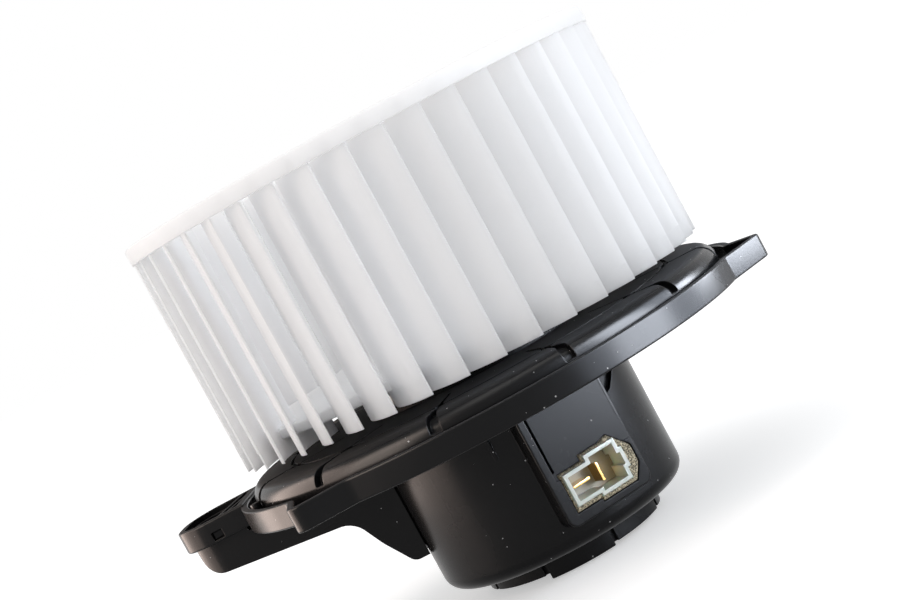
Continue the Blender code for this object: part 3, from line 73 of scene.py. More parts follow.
def fillet_runs(corners):
    """For each (x, y, fillet) corner, its fillet's run along both sides and its count of facets."""
    runs = []
    for index, (x, y, fillet) in enumerate(corners):
        before = Vector((x, y)) - Vector(corners[index - 1][:2])
        after = Vector(corners[(index + 1) % len(corners)][:2]) - Vector((x, y))
        turn = before.angle(after) if before.length and after.length else 0.0
        run = min(fillet * math.tan(turn / 2.0), 0.49 * before.length, 0.49 * after.length)
        runs.append((run, max(2, math.ceil(math.degrees(turn) / 14.0))))
    return runs


def bevel_at(shape, edges, run, facets):
    if edges and run > 1e-6:
        bmesh.ops.bevel(shape, geom=edges, affect="EDGES", offset=run, offset_type="OFFSET", segments=facets,
                        profile=0.5, material=-1, clamp_overlap=False)


def slab(corners, low, high, edge=0.0, place=None, both=True):
    """A flat outline of (x, y, fillet) corners made thick, its corners rounded and its rims eased."""
    corners = [(*corner, 0.0)[:3] for corner in corners]
    shape = bmesh.new()
    rim = [shape.verts.new((x, y, low)) for x, y, _ in corners]
    face = shape.faces.new(rim)
    top = bmesh.ops.extrude_face_region(shape, geom=[face])["geom"]
    bmesh.ops.translate(shape, verts=[v for v in top if isinstance(v, bmesh.types.BMVert)],
                        vec=(0.0, 0.0, high - low))
    for (x, y, fillet), (run, facets) in zip(corners, fillet_runs(corners)):
        if fillet > 0.0:
            here = Vector((x, y))
            bevel_at(shape, [e for e in shape.edges
                             if all((v.co.xy - here).length < 1e-7 for v in e.verts)], run, facets)
    bmesh.ops.recalc_face_normals(shape, faces=shape.faces)
    if edge:
        level = [low, high] if both else [high]
        rims = [e for e in shape.edges if any(all(abs(v.co.z - z) < 1e-8 for v in e.verts) for z in level)]
        bevel_at(shape, rims, edge, 3)
    if place is not None:
        bmesh.ops.transform(shape, matrix=place, verts=shape.verts)
    return shape


def spun(profile, steps, start_deg=0.0):
    """A closed or axis-to-axis profile of (radius, height, fillet) corners spun round the axis."""
    profile = [(*corner, 0.0)[:3] for corner in profile]
    shape = bmesh.new()
    chain = [shape.verts.new((radius, 0.0, height)) for radius, height, _ in profile]
    sides = [shape.edges.new(pair) for pair in zip(chain, chain[1:])]
    if profile[0][0] > 0.0:
        sides.append(shape.edges.new((chain[-1], chain[0])))
    bmesh.ops.rotate(shape, verts=shape.verts, cent=(0.0, 0.0, 0.0),
                     matrix=Matrix.Rotation(math.radians(start_deg), 3, "Z"))
    bmesh.ops.spin(shape, geom=chain + sides, cent=(0.0, 0.0, 0.0), axis=(0.0, 0.0, 1.0), angle=math.tau,
                   steps=steps, use_merge=True)
    bmesh.ops.remove_doubles(shape, verts=shape.verts, dist=1e-6)
    bmesh.ops.recalc_face_normals(shape, faces=shape.faces)
    for (radius, height, fillet), (run, facets) in zip(profile, fillet_runs(profile)):
        if fillet > 0.0 and radius > 0.0:
            ring = [e for e in shape.edges if all(abs(v.co.z - height) < 2e-6 and
                                                  abs(v.co.xy.length - radius) < 2e-6 for v in e.verts)]
            bevel_at(shape, ring, run, facets)
    return shape


def brick(low, high, edge=0.0, place=None):
    """A box between two corners, with eased edges."""
    shape = bmesh.new()
    bmesh.ops.create_cube(shape, size=1.0)
    size = [b - a for a, b in zip(low, high)]
    bmesh.ops.scale(shape, vec=size, verts=shape.verts)
    bmesh.ops.translate(shape, vec=[(a + b) / 2.0 for a, b in zip(low, high)], verts=shape.verts)
    bevel_at(shape, shape.edges[:] if edge else [], edge, 2)
    if place is not None:
        bmesh.ops.transform(shape, matrix=place, verts=shape.verts)
    return shape


def pin(radius, low, high, x=0.0, y=0.0, steps=32):
    """A round bar that stands at a place in plan."""
    shape = bmesh.new()
    bmesh.ops.create_cone(shape, cap_ends=True, segments=steps, radius1=radius, radius2=radius,
                          depth=high - low)
    bmesh.ops.translate(shape, verts=shape.verts, vec=(x, y, (low + high) / 2.0))
    return shape


def mesh_of(name, shape):
    mesh = bpy.data.meshes.new(name)
    shape.to_mesh(mesh)
    shape.free()
    return mesh


def linked(name, data):
    thing = bpy.data.objects.new(name, data)
    bpy.context.scene.collection.objects.link(thing)
    return thing


def gather(shapes):
    """Shapes that lie apart, as one."""
    whole = bmesh.new()
    for shape in shapes:
        mesh = mesh_of("part_of", shape)
        whole.from_mesh(mesh)
        bpy.data.meshes.remove(mesh)
    return whole


def piece(name, shape, finish):
    """A named piece of the object from a shape."""
    mesh = mesh_of(name, shape)
    mesh.materials.append(finish)
    return linked(name, mesh)


def fuse(thing, steps):
    """Joins shapes to a piece, cuts them from it or keeps what they share, in turn, as (operation, shape)."""
    tools = []
    for operation, shape in steps:
        tool = linked("tool", mesh_of("tool", shape))
        tools.append(tool)
        change = thing.modifiers.new("change", "BOOLEAN")
        change.operation, change.object, change.solver = operation, tool, "EXACT"
    bpy.context.view_layer.update()
    made = bpy.data.meshes.new_from_object(thing.evaluated_get(bpy.context.evaluated_depsgraph_get()))
    thing.modifiers.clear()
    old, thing.data = thing.data, made
    bpy.data.meshes.remove(old)
    made.name = thing.name
    for tool in tools:
        mesh = tool.data
        bpy.data.objects.remove(tool)
        bpy.data.meshes.remove(mesh)


def taken(thing):
    """The shape of a piece that was only needed for the making, which goes."""
    shape = bmesh.new()
    shape.from_mesh(thing.data)
    mesh = thing.data
    bpy.data.objects.remove(thing)
    bpy.data.meshes.remove(mesh)
    return shape


def smooth(thing, sharp_deg=30.0):
    """Smooth shading up to the sharp edges, with flat faces kept flat."""
    shape = bmesh.new()
    shape.from_mesh(thing.data)
    bmesh.ops.dissolve_degenerate(shape, dist=1e-6, edges=shape.edges)
    shape.to_mesh(thing.data)
    shape.free()
    thing.data.shade_smooth()
    thing.data.set_sharp_from_angle(angle=math.radians(sharp_deg))
    even = thing.modifiers.new("even", "WEIGHTED_NORMAL")
    even.keep_sharp = True


def around(count, first_deg, low, high):
    """Like boxes round the axis: low and high are corners with +Y pointing out."""
    turns = [first_deg + 360.0 * index / count for index in range(count)]
    return gather([brick(low, high, place=turned_to(turn)) for turn in turns])


def feed(tree, node, inputs):
    """A node's inputs get values, or links where the value is another node's output."""
    for key, value in inputs.items():
        if isinstance(value, bpy.types.NodeSocket):
            tree.links.new(value, node.inputs[key])
        else:
            node.inputs[key].default_value = value


def add(tree, kind, inputs, **settings):
    """A shader node with its settings and inputs, as its outputs."""
    node = tree.nodes.new("ShaderNode" + kind)
    for setting, value in settings.items():
        setattr(node, setting, value)
    feed(tree, node, inputs)
    return node.outputs


def reckon(tree, operation, *values):
    """What a maths node makes of links and numbers."""
    return add(tree, "Math", dict(enumerate(values)), operation=operation)[0]


def uneven(tree, cloud, spread, middle):
    """A value that a cloud spreads about its middle."""
    return reckon(tree, "MULTIPLY_ADD", reckon(tree, "SUBTRACT", cloud, 0.5), spread, middle)


def group(name, inputs, outputs):
    """A node group, what it is given and its output node. An input has its value, or None for a vector."""
    tree = bpy.data.node_groups.new(name, "ShaderNodeTree")
    for socket, value in inputs.items():
        kind = "NodeSocketVector" if value is None else "NodeSocketFloat"
        made = tree.interface.new_socket(socket, in_out="INPUT", socket_type=kind)
        if value is None:
            made.hide_value = True
        else:
            made.default_value = value
    for socket in outputs:
        kind = "NodeSocketVector" if socket == "Normal" else "NodeSocketFloat"
        tree.interface.new_socket(socket, in_out="OUTPUT", socket_type=kind)
    return tree, tree.nodes.new("NodeGroupInput").outputs, tree.nodes.new("NodeGroupOutput")


def grain_group():
    """Fine moulded grain: an even speckle for roughness and a shallow bump, in object space."""
    tree, given, out = group("moulded_grain", {"Grain per metre": 1800.0, "Depth": 0.05, "Gloss spread": 0.1,
                                               "Middle roughness": 0.4, "Surface": None},
                             ("Cloud", "Roughness", "Normal"))
    place = add(tree, "TexCoord", {})["Object"]
    fine = add(tree, "TexNoise", {"Vector": place, "Scale": given["Grain per metre"], "Detail": 3.0})["Fac"]
    cloud = add(tree, "TexNoise", {"Vector": place, "Scale": 55.0, "Detail": 4.0})["Fac"]
    bump = add(tree, "Bump", {"Distance": 0.0002, "Strength": given["Depth"], "Height": fine,
                              "Normal": given["Surface"]})["Normal"]
    rough = uneven(tree, cloud, given["Gloss spread"], given["Middle roughness"])
    feed(tree, out, {"Cloud": cloud, "Roughness": rough, "Normal": bump})
    return tree


def dust_group():
    """Dust and moulding specks: a mask of small scattered dots, some of them larger."""
    tree, given, out = group("dust_specks", {"Dots per metre": 330.0, "Dot size": 0.07, "Share kept": 0.3},
                             ("Dust",))
    place = add(tree, "TexCoord", {})["Object"]
    cells = add(tree, "TexVoronoi", {"Vector": place, "Scale": given["Dots per metre"]})
    pick = add(tree, "SeparateColor", {"Color": cells["Color"]})
    size = reckon(tree, "MULTIPLY", pick["Green"], given["Dot size"])
    inside = reckon(tree, "LESS_THAN", cells["Distance"], size)
    kept = reckon(tree, "LESS_THAN", pick["Red"], given["Share kept"])
    feed(tree, out, {"Dust": reckon(tree, "MULTIPLY", inside, kept)})
    return tree


grain_tree = grain_group()
dust_tree = dust_group()


def new_finish(name, **set_on_shader):
    """A material with its Principled shader's own values set."""
    finish = bpy.data.materials.new(name)
    finish.use_nodes = True
    tree = finish.node_tree
    shader = tree.nodes["Principled BSDF"]
    feed(tree, shader, {socket.replace("_", " "): value for socket, value in set_on_shader.items()})
    return finish, tree, shader


def mixed(tree, factor, low, high):
    """A colour between two colours or links, by a factor link. The node's inputs 6 and 7 are its colours."""
    low, high = ((*tone, 1.0) if isinstance(tone, tuple) else tone for tone in (low, high))
    return add(tree, "Mix", {0: factor, 6: low, 7: high}, data_type="RGBA")[2]


def moulded(name, dark, light, roughness, specular=0.5, grain=1800.0, depth=0.05, spread=0.12,
            dust=None, dust_colour=(0.5, 0.5, 0.5), rounding=0.0, matt_top=0.0, **more):
    """Moulded plastic: cloudy colour between two tones, fine grain, and dust specks where it gathers them.
    Its edges can be rounded a little, and its upward faces can carry a matt texture."""
    finish, tree, shader = new_finish(name, Specular_IOR_Level=specular, **more)
    inputs = {"Grain per metre": grain, "Depth": depth, "Gloss spread": spread, "Middle roughness": roughness}
    if rounding:
        inputs["Surface"] = add(tree, "Bevel", {"Radius": rounding}, samples=4)[0]
    skin = add(tree, "Group", inputs, node_tree=grain_tree)
    colour, rough = mixed(tree, skin["Cloud"], dark, light), skin["Roughness"]
    if dust:
        amounts = dict(zip(("Dots per metre", "Dot size", "Share kept"), dust))
        specks = add(tree, "Group", amounts, node_tree=dust_tree)
        colour = mixed(tree, specks["Dust"], colour, dust_colour)
    if matt_top:
        facing = add(tree, "SeparateXYZ", {0: add(tree, "TexCoord", {})["Normal"]})["Z"]
        upward = {"Value": facing, "From Min": 0.8, "From Max": 0.97, "To Max": matt_top}
        rough = reckon(tree, "ADD", rough, add(tree, "MapRange", upward)[0])
    feed(tree, shader, {"Base Color": colour, "Roughness": rough, "Normal": skin["Normal"]})
    return finish


def dress(finish, *names):
    """CAD nodes that keep their own shape get their finish."""
    for name in names:
        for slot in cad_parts[name].material_slots:
            slot.material = finish


black_moulding = moulded("housing_black", (0.003, 0.003, 0.0033), (0.006, 0.006, 0.0065), 0.26, specular=0.1,
                         rounding=0.4 * mm, matt_top=0.5, dust=(460.0, 0.11, 0.4),
                         dust_colour=(0.42, 0.42, 0.42))

# Each ear: place round the axis, reach of its corner, and the slope of its two sides to its centre line.
ears = ((-42.0, 93.0 * mm, 45.0, 45.0), (78.0, 90.6 * mm, 58.0, 50.0), (198.0, 93.0 * mm, 45.0, 45.0))
ear_corner = 4.0 * mm
ear_root = 5.0 * mm
ear_hole = 2.6 * mm
ear_hole_circle = 84.3 * mm


def pan_outline(wall):
    """The pan's outline, moved inwards by a wall: a circle with a pointed ear at each mounting screw."""
    radius = pan_radius - wall
    corners = []
    for index, (centre, reach, slope_before, slope_after) in enumerate(ears):
        lines = []
        for side, slope in ((-1.0, slope_before), (1.0, slope_after)):
            normal_deg = centre + side * (90.0 - slope)
            distance = reach * math.sin(math.radians(slope)) - wall
            root_deg = normal_deg - side * math.degrees(math.acos(min(distance / radius, 1.0)))
            if side * (root_deg - centre) < 0.0:
                root_deg = normal_deg
            lines.append((heading(normal_deg), distance, root_deg))
        (normal_a, reach_a, root_a), (normal_b, reach_b, root_b) = lines
        scale = normal_a.cross(normal_b)
        tip = Vector((reach_a * normal_b.y - reach_b * normal_a.y,
                      reach_b * normal_a.x - reach_a * normal_b.x)) / scale
        corners.append((*(heading(root_a) * radius), ear_root))
        corners.append((*tip, max(ear_corner - wall, 0.5 * mm)))
        corners.append((*(heading(root_b) * radius), ear_root))
        next_centre, next_reach, next_slope, _ = ears[(index + 1) % len(ears)]
        if index == len(ears) - 1:
            next_centre += 360.0
        next_distance = next_reach * math.sin(math.radians(next_slope)) - wall
        next_open = math.degrees(math.acos(min(next_distance / radius, 1.0)))
        next_root = next_centre - (90.0 - next_slope) + next_open
        steps = max(int((next_root - root_b) / 360.0 * round_steps), 1)
        for step in range(2, steps - 1):
            corners.append((*(heading(root_b + (next_root - root_b) * step / steps) * radius), 0.0))
    return corners


# The duct's frame: +X out along the duct, +Y sideways to the front, +Z up.
upwards = Vector((0.0, 0.0, 1.0))
duct_turn = math.radians(6.0)
duct_out = Vector((-math.cos(duct_turn), math.sin(duct_turn), 0.0))
duct_place = Matrix((duct_out, upwards.cross(duct_out), upwards)).transposed().to_4x4()
tray_reach = 103.5 * mm
tray_half = 14.0 * mm
tray_wall = 2.0 * mm
tray_corner = 11.0 * mm
tray_foot_z = 52.3 * mm
tray_top_z = 59.1 * mm
latch_reach = 90.2 * mm

# The pad's frame: +X along the pad, +Y up, +Z out of the cup.
pad_out = heading(20.5).to_3d()
pad_place = Matrix((upwards.cross(pad_out), upwards, pad_out)).transposed().to_4x4()
pad_distance = 42.5 * mm
pad_left = 14.8 * mm
pad_right = 13.7 * mm
pad_foot_z = 13.2 * mm
panel_foot_z = 27.0 * mm
shell_left = -10.4 * mm
shell_step_x = -2.4 * mm
shell_right = 8.2 * mm
shell_foot_z = 16.9 * mm


def shell_outline(grow):
    """The connector's stepped outline, grown by a margin: a low cell, a high cell and a rib on its right."""
    low_foot, low_top, top = shell_foot_z + 1.1 * mm, shell_foot_z + 10.9 * mm, shell_foot_z + 12.7 * mm
    rib_low, rib_high, rib_right = shell_foot_z + 3.3 * mm, shell_foot_z + 9.4 * mm, shell_right + 1.0 * mm
    return [
        (shell_left - grow, low_foot - grow), (shell_step_x - grow, low_foot - grow),
        (shell_step_x - grow, shell_foot_z - grow), (shell_right + grow, shell_foot_z - grow),
        (shell_right + grow, rib_low - grow), (rib_right + grow, rib_low - grow),
        (rib_right + grow, rib_high + grow), (shell_right + grow, rib_high + grow),
        (shell_right + grow, top + grow), (shell_step_x - grow, top + grow),
        (shell_step_x - grow, low_top + grow), (shell_left - grow, low_top + grow),
    ]


def seal_outline(grow):
    """The foam's outline: close round the low cell and over the top, wider on the right with cut corners."""
    left, right, top = shell_left, shell_right + 1.0 * mm, shell_foot_z + 12.7 * mm
    rim, thin_rim, side, corner = 1.3 * mm, 0.45 * mm, 2.9 * mm, 4.35 * mm
    low_foot, low_top = shell_foot_z - 0.3 * mm, shell_foot_z + 10.9 * mm
    return [
        (left - thin_rim - grow, low_foot - grow), (shell_step_x - grow, low_foot - grow),
        (shell_step_x - grow, shell_foot_z - rim - grow), (right + 0.4 * grow, shell_foot_z - rim - grow),
        (right + side + grow, shell_foot_z - rim + corner - 0.4 * grow, 2.0 * mm),
        (right + side + grow, top - corner + 0.4 * grow, 2.0 * mm),
        (right - corner / 2.0 + 0.4 * grow, top + rim + grow), (shell_right - corner, top + thin_rim + grow),
        (shell_step_x - thin_rim - grow, top + thin_rim + grow),
        (shell_step_x - thin_rim - grow, low_top + thin_rim + grow),
        (left - thin_rim - grow, low_top + thin_rim + grow),
    ]


def moulded_pan():
    """The flange: its outline made thick, its top inset by the wall and pushed down to the floor."""
    shape = slab(pan_outline(0.0), pan_z, pan_z + pan_height)
    lid = max((f for f in shape.faces if f.normal.z > 0.99), key=lambda f: f.calc_area())
    bmesh.ops.inset_region(shape, faces=[lid], thickness=pan_wall, use_even_offset=True, use_boundary=True)
    walls = bmesh.ops.extrude_face_region(shape, geom=[lid])["geom"]
    bmesh.ops.translate(shape, verts=[v for v in walls if isinstance(v, bmesh.types.BMVert)],
                        vec=(0.0, 0.0, pan_floor - pan_height))
    bmesh.ops.delete(shape, geom=[lid], context="FACES_KEEP_BOUNDARY")
    bmesh.ops.recalc_face_normals(shape, faces=shape.faces)
    top = pan_z + pan_height

    def rim_edges(height, sharp):
        return [e for e in shape.edges if all(abs(v.co.z - height) < 1e-7 for v in e.verts)
                and len(e.link_faces) == 2 and e.calc_face_angle(0.0) > math.radians(sharp)]

    bevel_at(shape, rim_edges(top, 45.0), 0.5 * mm, 3)
    bevel_at(shape, rim_edges(pan_z, 45.0), 0.5 * mm, 3)
    bevel_at(shape, rim_edges(pan_z + pan_floor, 45.0), 0.7 * mm, 3)
    return shape


segments = 12
first_groove_deg = 16.5
groove_width = 1.2 * mm
groove_z = plateau_z - 1.4 * mm
groove_inner = 46.0 * mm
ring_groove = 62.0 * mm
notch_half = 1.7 * mm
notch_z = plateau_z - 4.4 * mm


def plateau_cutters():
    """Radial grooves that run over the plateau's shoulder and end on its side, a ring groove, and the
    star-shaped pockets where they cross."""
    over = plateau_z + 3.0 * mm
    half = groove_width / 2.0
    turns = [turned_to(first_groove_deg + 360.0 * index / segments) for index in range(segments)]
    bars = gather([slab([
        (-half, groove_inner), (half, groove_inner), (half, 65.0 * mm), (notch_half, 75.0 * mm),
        (notch_half, plateau_radius + 3.0 * mm), (-notch_half, plateau_radius + 3.0 * mm),
        (-notch_half, 75.0 * mm), (-half, 65.0 * mm),
    ], notch_z, over, edge=0.5 * mm, place=turn) for turn in turns])
    radial = piece("radial_grooves", bars, black_moulding)
    core = spun([
        (0.0, groove_z), (plateau_radius - 2.2 * mm, groove_z, plateau_fillet - 1.4 * mm),
        (plateau_radius - 2.2 * mm, pan_z), (0.0, pan_z),
    ], round_steps)
    fuse(radial, [("DIFFERENCE", core)])
    grooves = taken(radial)
    long, narrow = 4.6 * mm, 0.35 * mm
    star = []
    for x_sign, y_sign in ((1, 1), (-1, 1), (-1, -1), (1, -1)):
        arm = [(x_sign * long, y_sign * narrow, 0.0), (x_sign * 0.9 * mm, y_sign * 0.9 * mm, 3.0 * mm),
               (x_sign * narrow, y_sign * long, 0.0)]
        star += arm if x_sign * y_sign > 0 else arm[::-1]
    out = Matrix.Translation((0.0, ring_groove, 0.0))
    stars = gather([slab(star, groove_z + 0.1 * mm, over, place=turn @ out) for turn in turns])
    ring = spun([
        (ring_groove - half, over), (ring_groove + half, over), (ring_groove + half, groove_z + 0.15 * mm),
        (ring_groove - half, groove_z + 0.15 * mm),
    ], round_steps)
    return grooves, ring, stars


def pad_side_gap():
    """The dark wedge between the pad's right side and the cup, as deep as the wall leaves room for."""
    wedge = slab([
        (pad_right + 0.2 * mm, 39.0 * mm), (18.2 * mm, 40.3 * mm), (24.0 * mm, 45.5 * mm),
        (24.0 * mm, pan_z - 0.1 * mm), (pad_right + 0.2 * mm, pan_z - 0.1 * mm),
    ], 22.0 * mm, 41.5 * mm, place=pad_place)
    gap = piece("pad_side_gap", wedge, black_moulding)
    fuse(gap, [("DIFFERENCE", pin(37.9 * mm, lip_z, plateau_z, steps=round_steps))])
    return taken(gap)


def motor_housing_fine():
    housing = piece("blower_housing", moulded_pan(), black_moulding)
    side_foot, cup_head, pad_head = pan_z + 1.1 * mm, plateau_z - 1.2 * mm, plateau_z - 0.8 * mm
    plateau = spun([
        (0.0, plateau_z), (plateau_radius, plateau_z, plateau_fillet), (plateau_radius, side_foot),
        (0.0, side_foot),
    ], round_steps)
    cup = spun([
        (0.0, cup_head), (cup_radius, cup_head), (cup_radius - 0.2 * mm, lip_z, 4.5 * mm), (0.0, lip_z),
    ], round_steps)
    ceiling, hollow_foot = plateau_z - plateau_roof, pan_z - 2.2 * mm
    hollow_inner, hollow_outer, hollow_side = 42.0 * mm, 67.3 * mm, 73.2 * mm
    hollow = spun([
        (hollow_inner, ceiling, 1.5 * mm), (hollow_outer, ceiling, 1.5 * mm),
        (hollow_side, ceiling - 5.9 * mm, 2.0 * mm), (hollow_side, hollow_foot), (hollow_inner, hollow_foot),
    ], round_steps)
    ribs = around(6, first_groove_deg + 15.0, (-0.9 * mm, 38.0 * mm, pan_z + 0.55 * mm),
                  (0.9 * mm, 74.8 * mm, ceiling + 0.8 * mm))
    pad = slab([
        (-pad_left, pad_foot_z, 2.8 * mm), (pad_right, pad_foot_z, 2.8 * mm), (pad_right, pad_head),
        (-pad_left, pad_head),
    ], 18.0 * mm, pad_distance, edge=0.5 * mm, place=pad_place, both=False)
    start = pan_radius - 2.0 * mm
    tray = slab([
        (start, -tray_half), (tray_reach, -tray_half, tray_corner), (tray_reach, tray_half, tray_corner),
        (start, tray_half),
    ], tray_foot_z, tray_top_z, edge=0.5 * mm, place=duct_place)
    inner_start, inner_reach = pan_radius + hair, tray_reach - tray_wall
    inner_half, inner_corner = tray_half - tray_wall, tray_corner - tray_wall
    tray_hole = slab([
        (inner_start, -inner_half), (inner_reach, -inner_half, inner_corner),
        (inner_reach, inner_half, inner_corner), (inner_start, inner_half),
    ], tray_foot_z - 3.0 * mm, tray_top_z + 3.0 * mm, place=duct_place)
    latch_window = brick((latch_reach - 1.7 * mm, tray_half - 3.0 * mm, pan_z + 1.8 * mm),
                         (latch_reach + 1.7 * mm, tray_half + 2.0 * mm, pan_z + 4.4 * mm), place=duct_place)
    air_window = brick((18.0 * mm, -8.0 * mm, 27.2 * mm), (42.0 * mm, 8.0 * mm, 43.2 * mm), place=duct_place)
    motor_opening, cap_opening = 34.5 * mm, 28.9 * mm
    roof_foot = plateau_z - plateau_roof - 0.675 * mm
    bore = spun([
        (0.0, 65.0 * mm), (motor_opening, 65.0 * mm), (motor_opening, roof_foot), (cup_bore, roof_foot),
        (cup_bore, floor_z), (cap_opening, floor_z), (cap_opening, 3.8 * mm), (0.0, 3.8 * mm),
    ], round_steps, 1.0)
    fuse(housing, [("UNION", plateau), ("UNION", cup), ("DIFFERENCE", hollow), ("UNION", ribs), ("UNION", pad),
                   ("UNION", tray), ("DIFFERENCE", tray_hole), ("DIFFERENCE", latch_window),
                   ("DIFFERENCE", air_window), ("DIFFERENCE", bore)])
    outside, panel_left, panel_right = pad_distance + 0.8 * mm, -pad_left + 2.4 * mm, pad_right + mm
    panel = slab([
        (panel_left, panel_foot_z), (panel_right, panel_foot_z), (panel_right, pan_z + 0.7 * mm),
        (panel_left, pan_z + 0.7 * mm),
    ], pad_distance - 0.8 * mm, outside, place=pad_place)
    slot = brick((-pad_left + 2.5 * mm, 29.4 * mm, pad_distance - 2.6 * mm),
                 (-pad_left + 3.4 * mm, 49.7 * mm, outside), place=pad_place)
    pocket = slab(seal_outline(hair), pad_distance - 3.3 * mm, outside, place=pad_place)
    way = slab(shell_outline(hair), 18.0 * mm, outside, place=pad_place)
    grooves, ring, stars = plateau_cutters()
    screws = gather([pin(ear_hole, pan_z - 2.0 * mm, pan_z + 4.0 * mm, *(heading(centre) * ear_hole_circle))
                     for centre, _, _, _ in ears])
    upright = Matrix.Rotation(math.radians(90.0), 4, "X")
    gusset_foot, gusset_top = 39.5 * mm, pan_z + 0.6 * mm
    gussets = gather([slab([
        (38.0 * mm, gusset_foot), (39.6 * mm, gusset_foot), (42.4 * mm, gusset_top), (38.0 * mm, gusset_top),
    ], -0.5 * mm, 0.5 * mm, place=Matrix.Rotation(math.radians(angle - 90.0), 4, "Z") @ upright)
        for angle in (-12.0, 108.0, 168.0, 228.0)])
    half, rib_side = 0.4 * mm, 12.6 * mm
    mouth_ribs = gather([slab([
        (near + half, rib_side), (near - half, rib_side), (far - half, side), (far + half, side),
    ], tray_top_z - 1.25 * mm, tray_top_z - 0.1 * mm, place=duct_place)
        for near, far, side in ((88.0 * mm, 84.4 * mm, -12.6 * mm), (85.1 * mm, 81.6 * mm, -5.0 * mm))])
    collar_radius, collar_top = 36.2 * mm, plateau_z + 1.9 * mm
    collar = spun([
        (motor_opening, cup_head), (motor_opening, collar_top, 0.3 * mm), (collar_radius, collar_top, 0.5 * mm),
        (collar_radius, cup_head),
    ], round_steps, 1.0)
    gutter_pin = pin(1.5 * mm, pan_z + 1.5 * mm, 59.3 * mm, *(heading(-73.0) * 78.1 * mm))
    cuts = (panel, slot, pocket, way, grooves, ring, stars, screws, pad_side_gap())
    fuse(housing, [("DIFFERENCE", cut) for cut in cuts]
         + [("UNION", extra) for extra in (gussets, mouth_ribs, gutter_pin, collar)])
    smooth(housing)
    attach(housing, "housing")
    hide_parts("motor_housing")
    edge_place = pad_place @ Matrix.Translation((pad_right - 0.35 * mm, 0.0, pad_distance - 0.85 * mm)) \
        @ Matrix.Rotation(math.radians(9.0), 4, "Y")
    strip = brick((-0.35 * mm, 33.6 * mm, -0.4 * mm), (0.35 * mm, pan_z + 0.2 * mm, 0.1 * mm), place=edge_place)
    edge_strip = piece("panel_edge", strip, black_moulding)
    smooth(edge_strip)
    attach(edge_strip, "housing")


motor_housing_fine()


# ## Cooling duct
# A thin black polypropylene scoop: its mouth is clipped into the housing's tray by a small latch, and
# its throat drops beside the cup to bring cooling air to the motor.
duct_wall = 1.6 * mm


def duct_block(wall, top):
    """The duct's outside, or its inside when moved in by a wall: a side outline kept within its plan."""
    tip = tray_reach - tray_wall - hair - wall
    seat, over, foot = pan_z - hair - wall, pan_z + 16.0 * mm, pan_z - 31.2 * mm + wall
    back, mouth = 34.0 * mm, pan_radius + 2.0 * hair + wall
    side = [
        (back, foot), (42.8 * mm, foot, 3.0 * mm), (48.7 * mm - wall, pan_z - 22.2 * mm + wall, 12.0 * mm),
        (53.6 * mm - wall, pan_z - 12.5 * mm + wall, 7.0 * mm),
        (tip - 1.5 * mm, pan_z - 7.6 * mm + wall, 6.5 * mm),
        (tip, over), (mouth, over), (mouth, seat), (back, seat),
    ]
    half = tray_half - tray_wall - hair - wall
    laid = duct_place @ Matrix.Rotation(math.radians(90.0), 4, "X")
    body = piece("duct_block", slab(side, -half, half, place=laid), black_moulding)
    corner = max(tray_corner - tray_wall - hair - wall, mm)
    plan = slab([(2.7 * mm, -half), (tip, -half, corner), (tip, half, corner), (2.7 * mm, half)], lip_z, top,
                place=duct_place)
    fuse(body, [("INTERSECT", plan)])
    return body


def cooling_duct_fine():
    top = tray_top_z - 1.6 * mm
    duct = duct_block(0.0, top)
    duct.name = "cooling_scoop"
    inside = taken(duct_block(duct_wall, top + 8.0 * mm))
    clearance = pin(cup_radius + hair, 3.0 * mm, plateau_z, steps=round_steps)
    front = tray_half - tray_wall - hair
    latch = slab([
        (latch_reach - 1.4 * mm, front - 0.8 * mm), (latch_reach - 1.4 * mm, front + 0.6 * mm),
        (latch_reach + 1.4 * mm, front + 1.4 * mm), (latch_reach + 1.4 * mm, front - 0.8 * mm),
    ], pan_z + 2.1 * mm, pan_z + 4.1 * mm, place=duct_place)
    fuse(duct, [("DIFFERENCE", inside), ("DIFFERENCE", clearance), ("UNION", latch)])
    smooth(duct)
    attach(duct, "housing")
    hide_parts("cooling_duct")


cooling_duct_fine()


# ## End cap
# A black polypropylene plug in the cup's floor under the motor. Its rim is cut into lobes to grip, of
# which some are shorter, and a flange inside the cup holds it.
cap_radius = 28.3 * mm
cap_bore = 25.7 * mm
cap_flange_radius = 31.9 * mm
cap_web_z = 2.0 * mm
cap_boss_radius = 8.5 * mm
cap_lobes = 8
first_slot_deg = 21.5
short_lobes = ((0, 0.9 * mm), (1, 1.2 * mm), (2, 1.7 * mm), (4, 0.9 * mm), (5, 1.6 * mm), (6, 1.7 * mm))


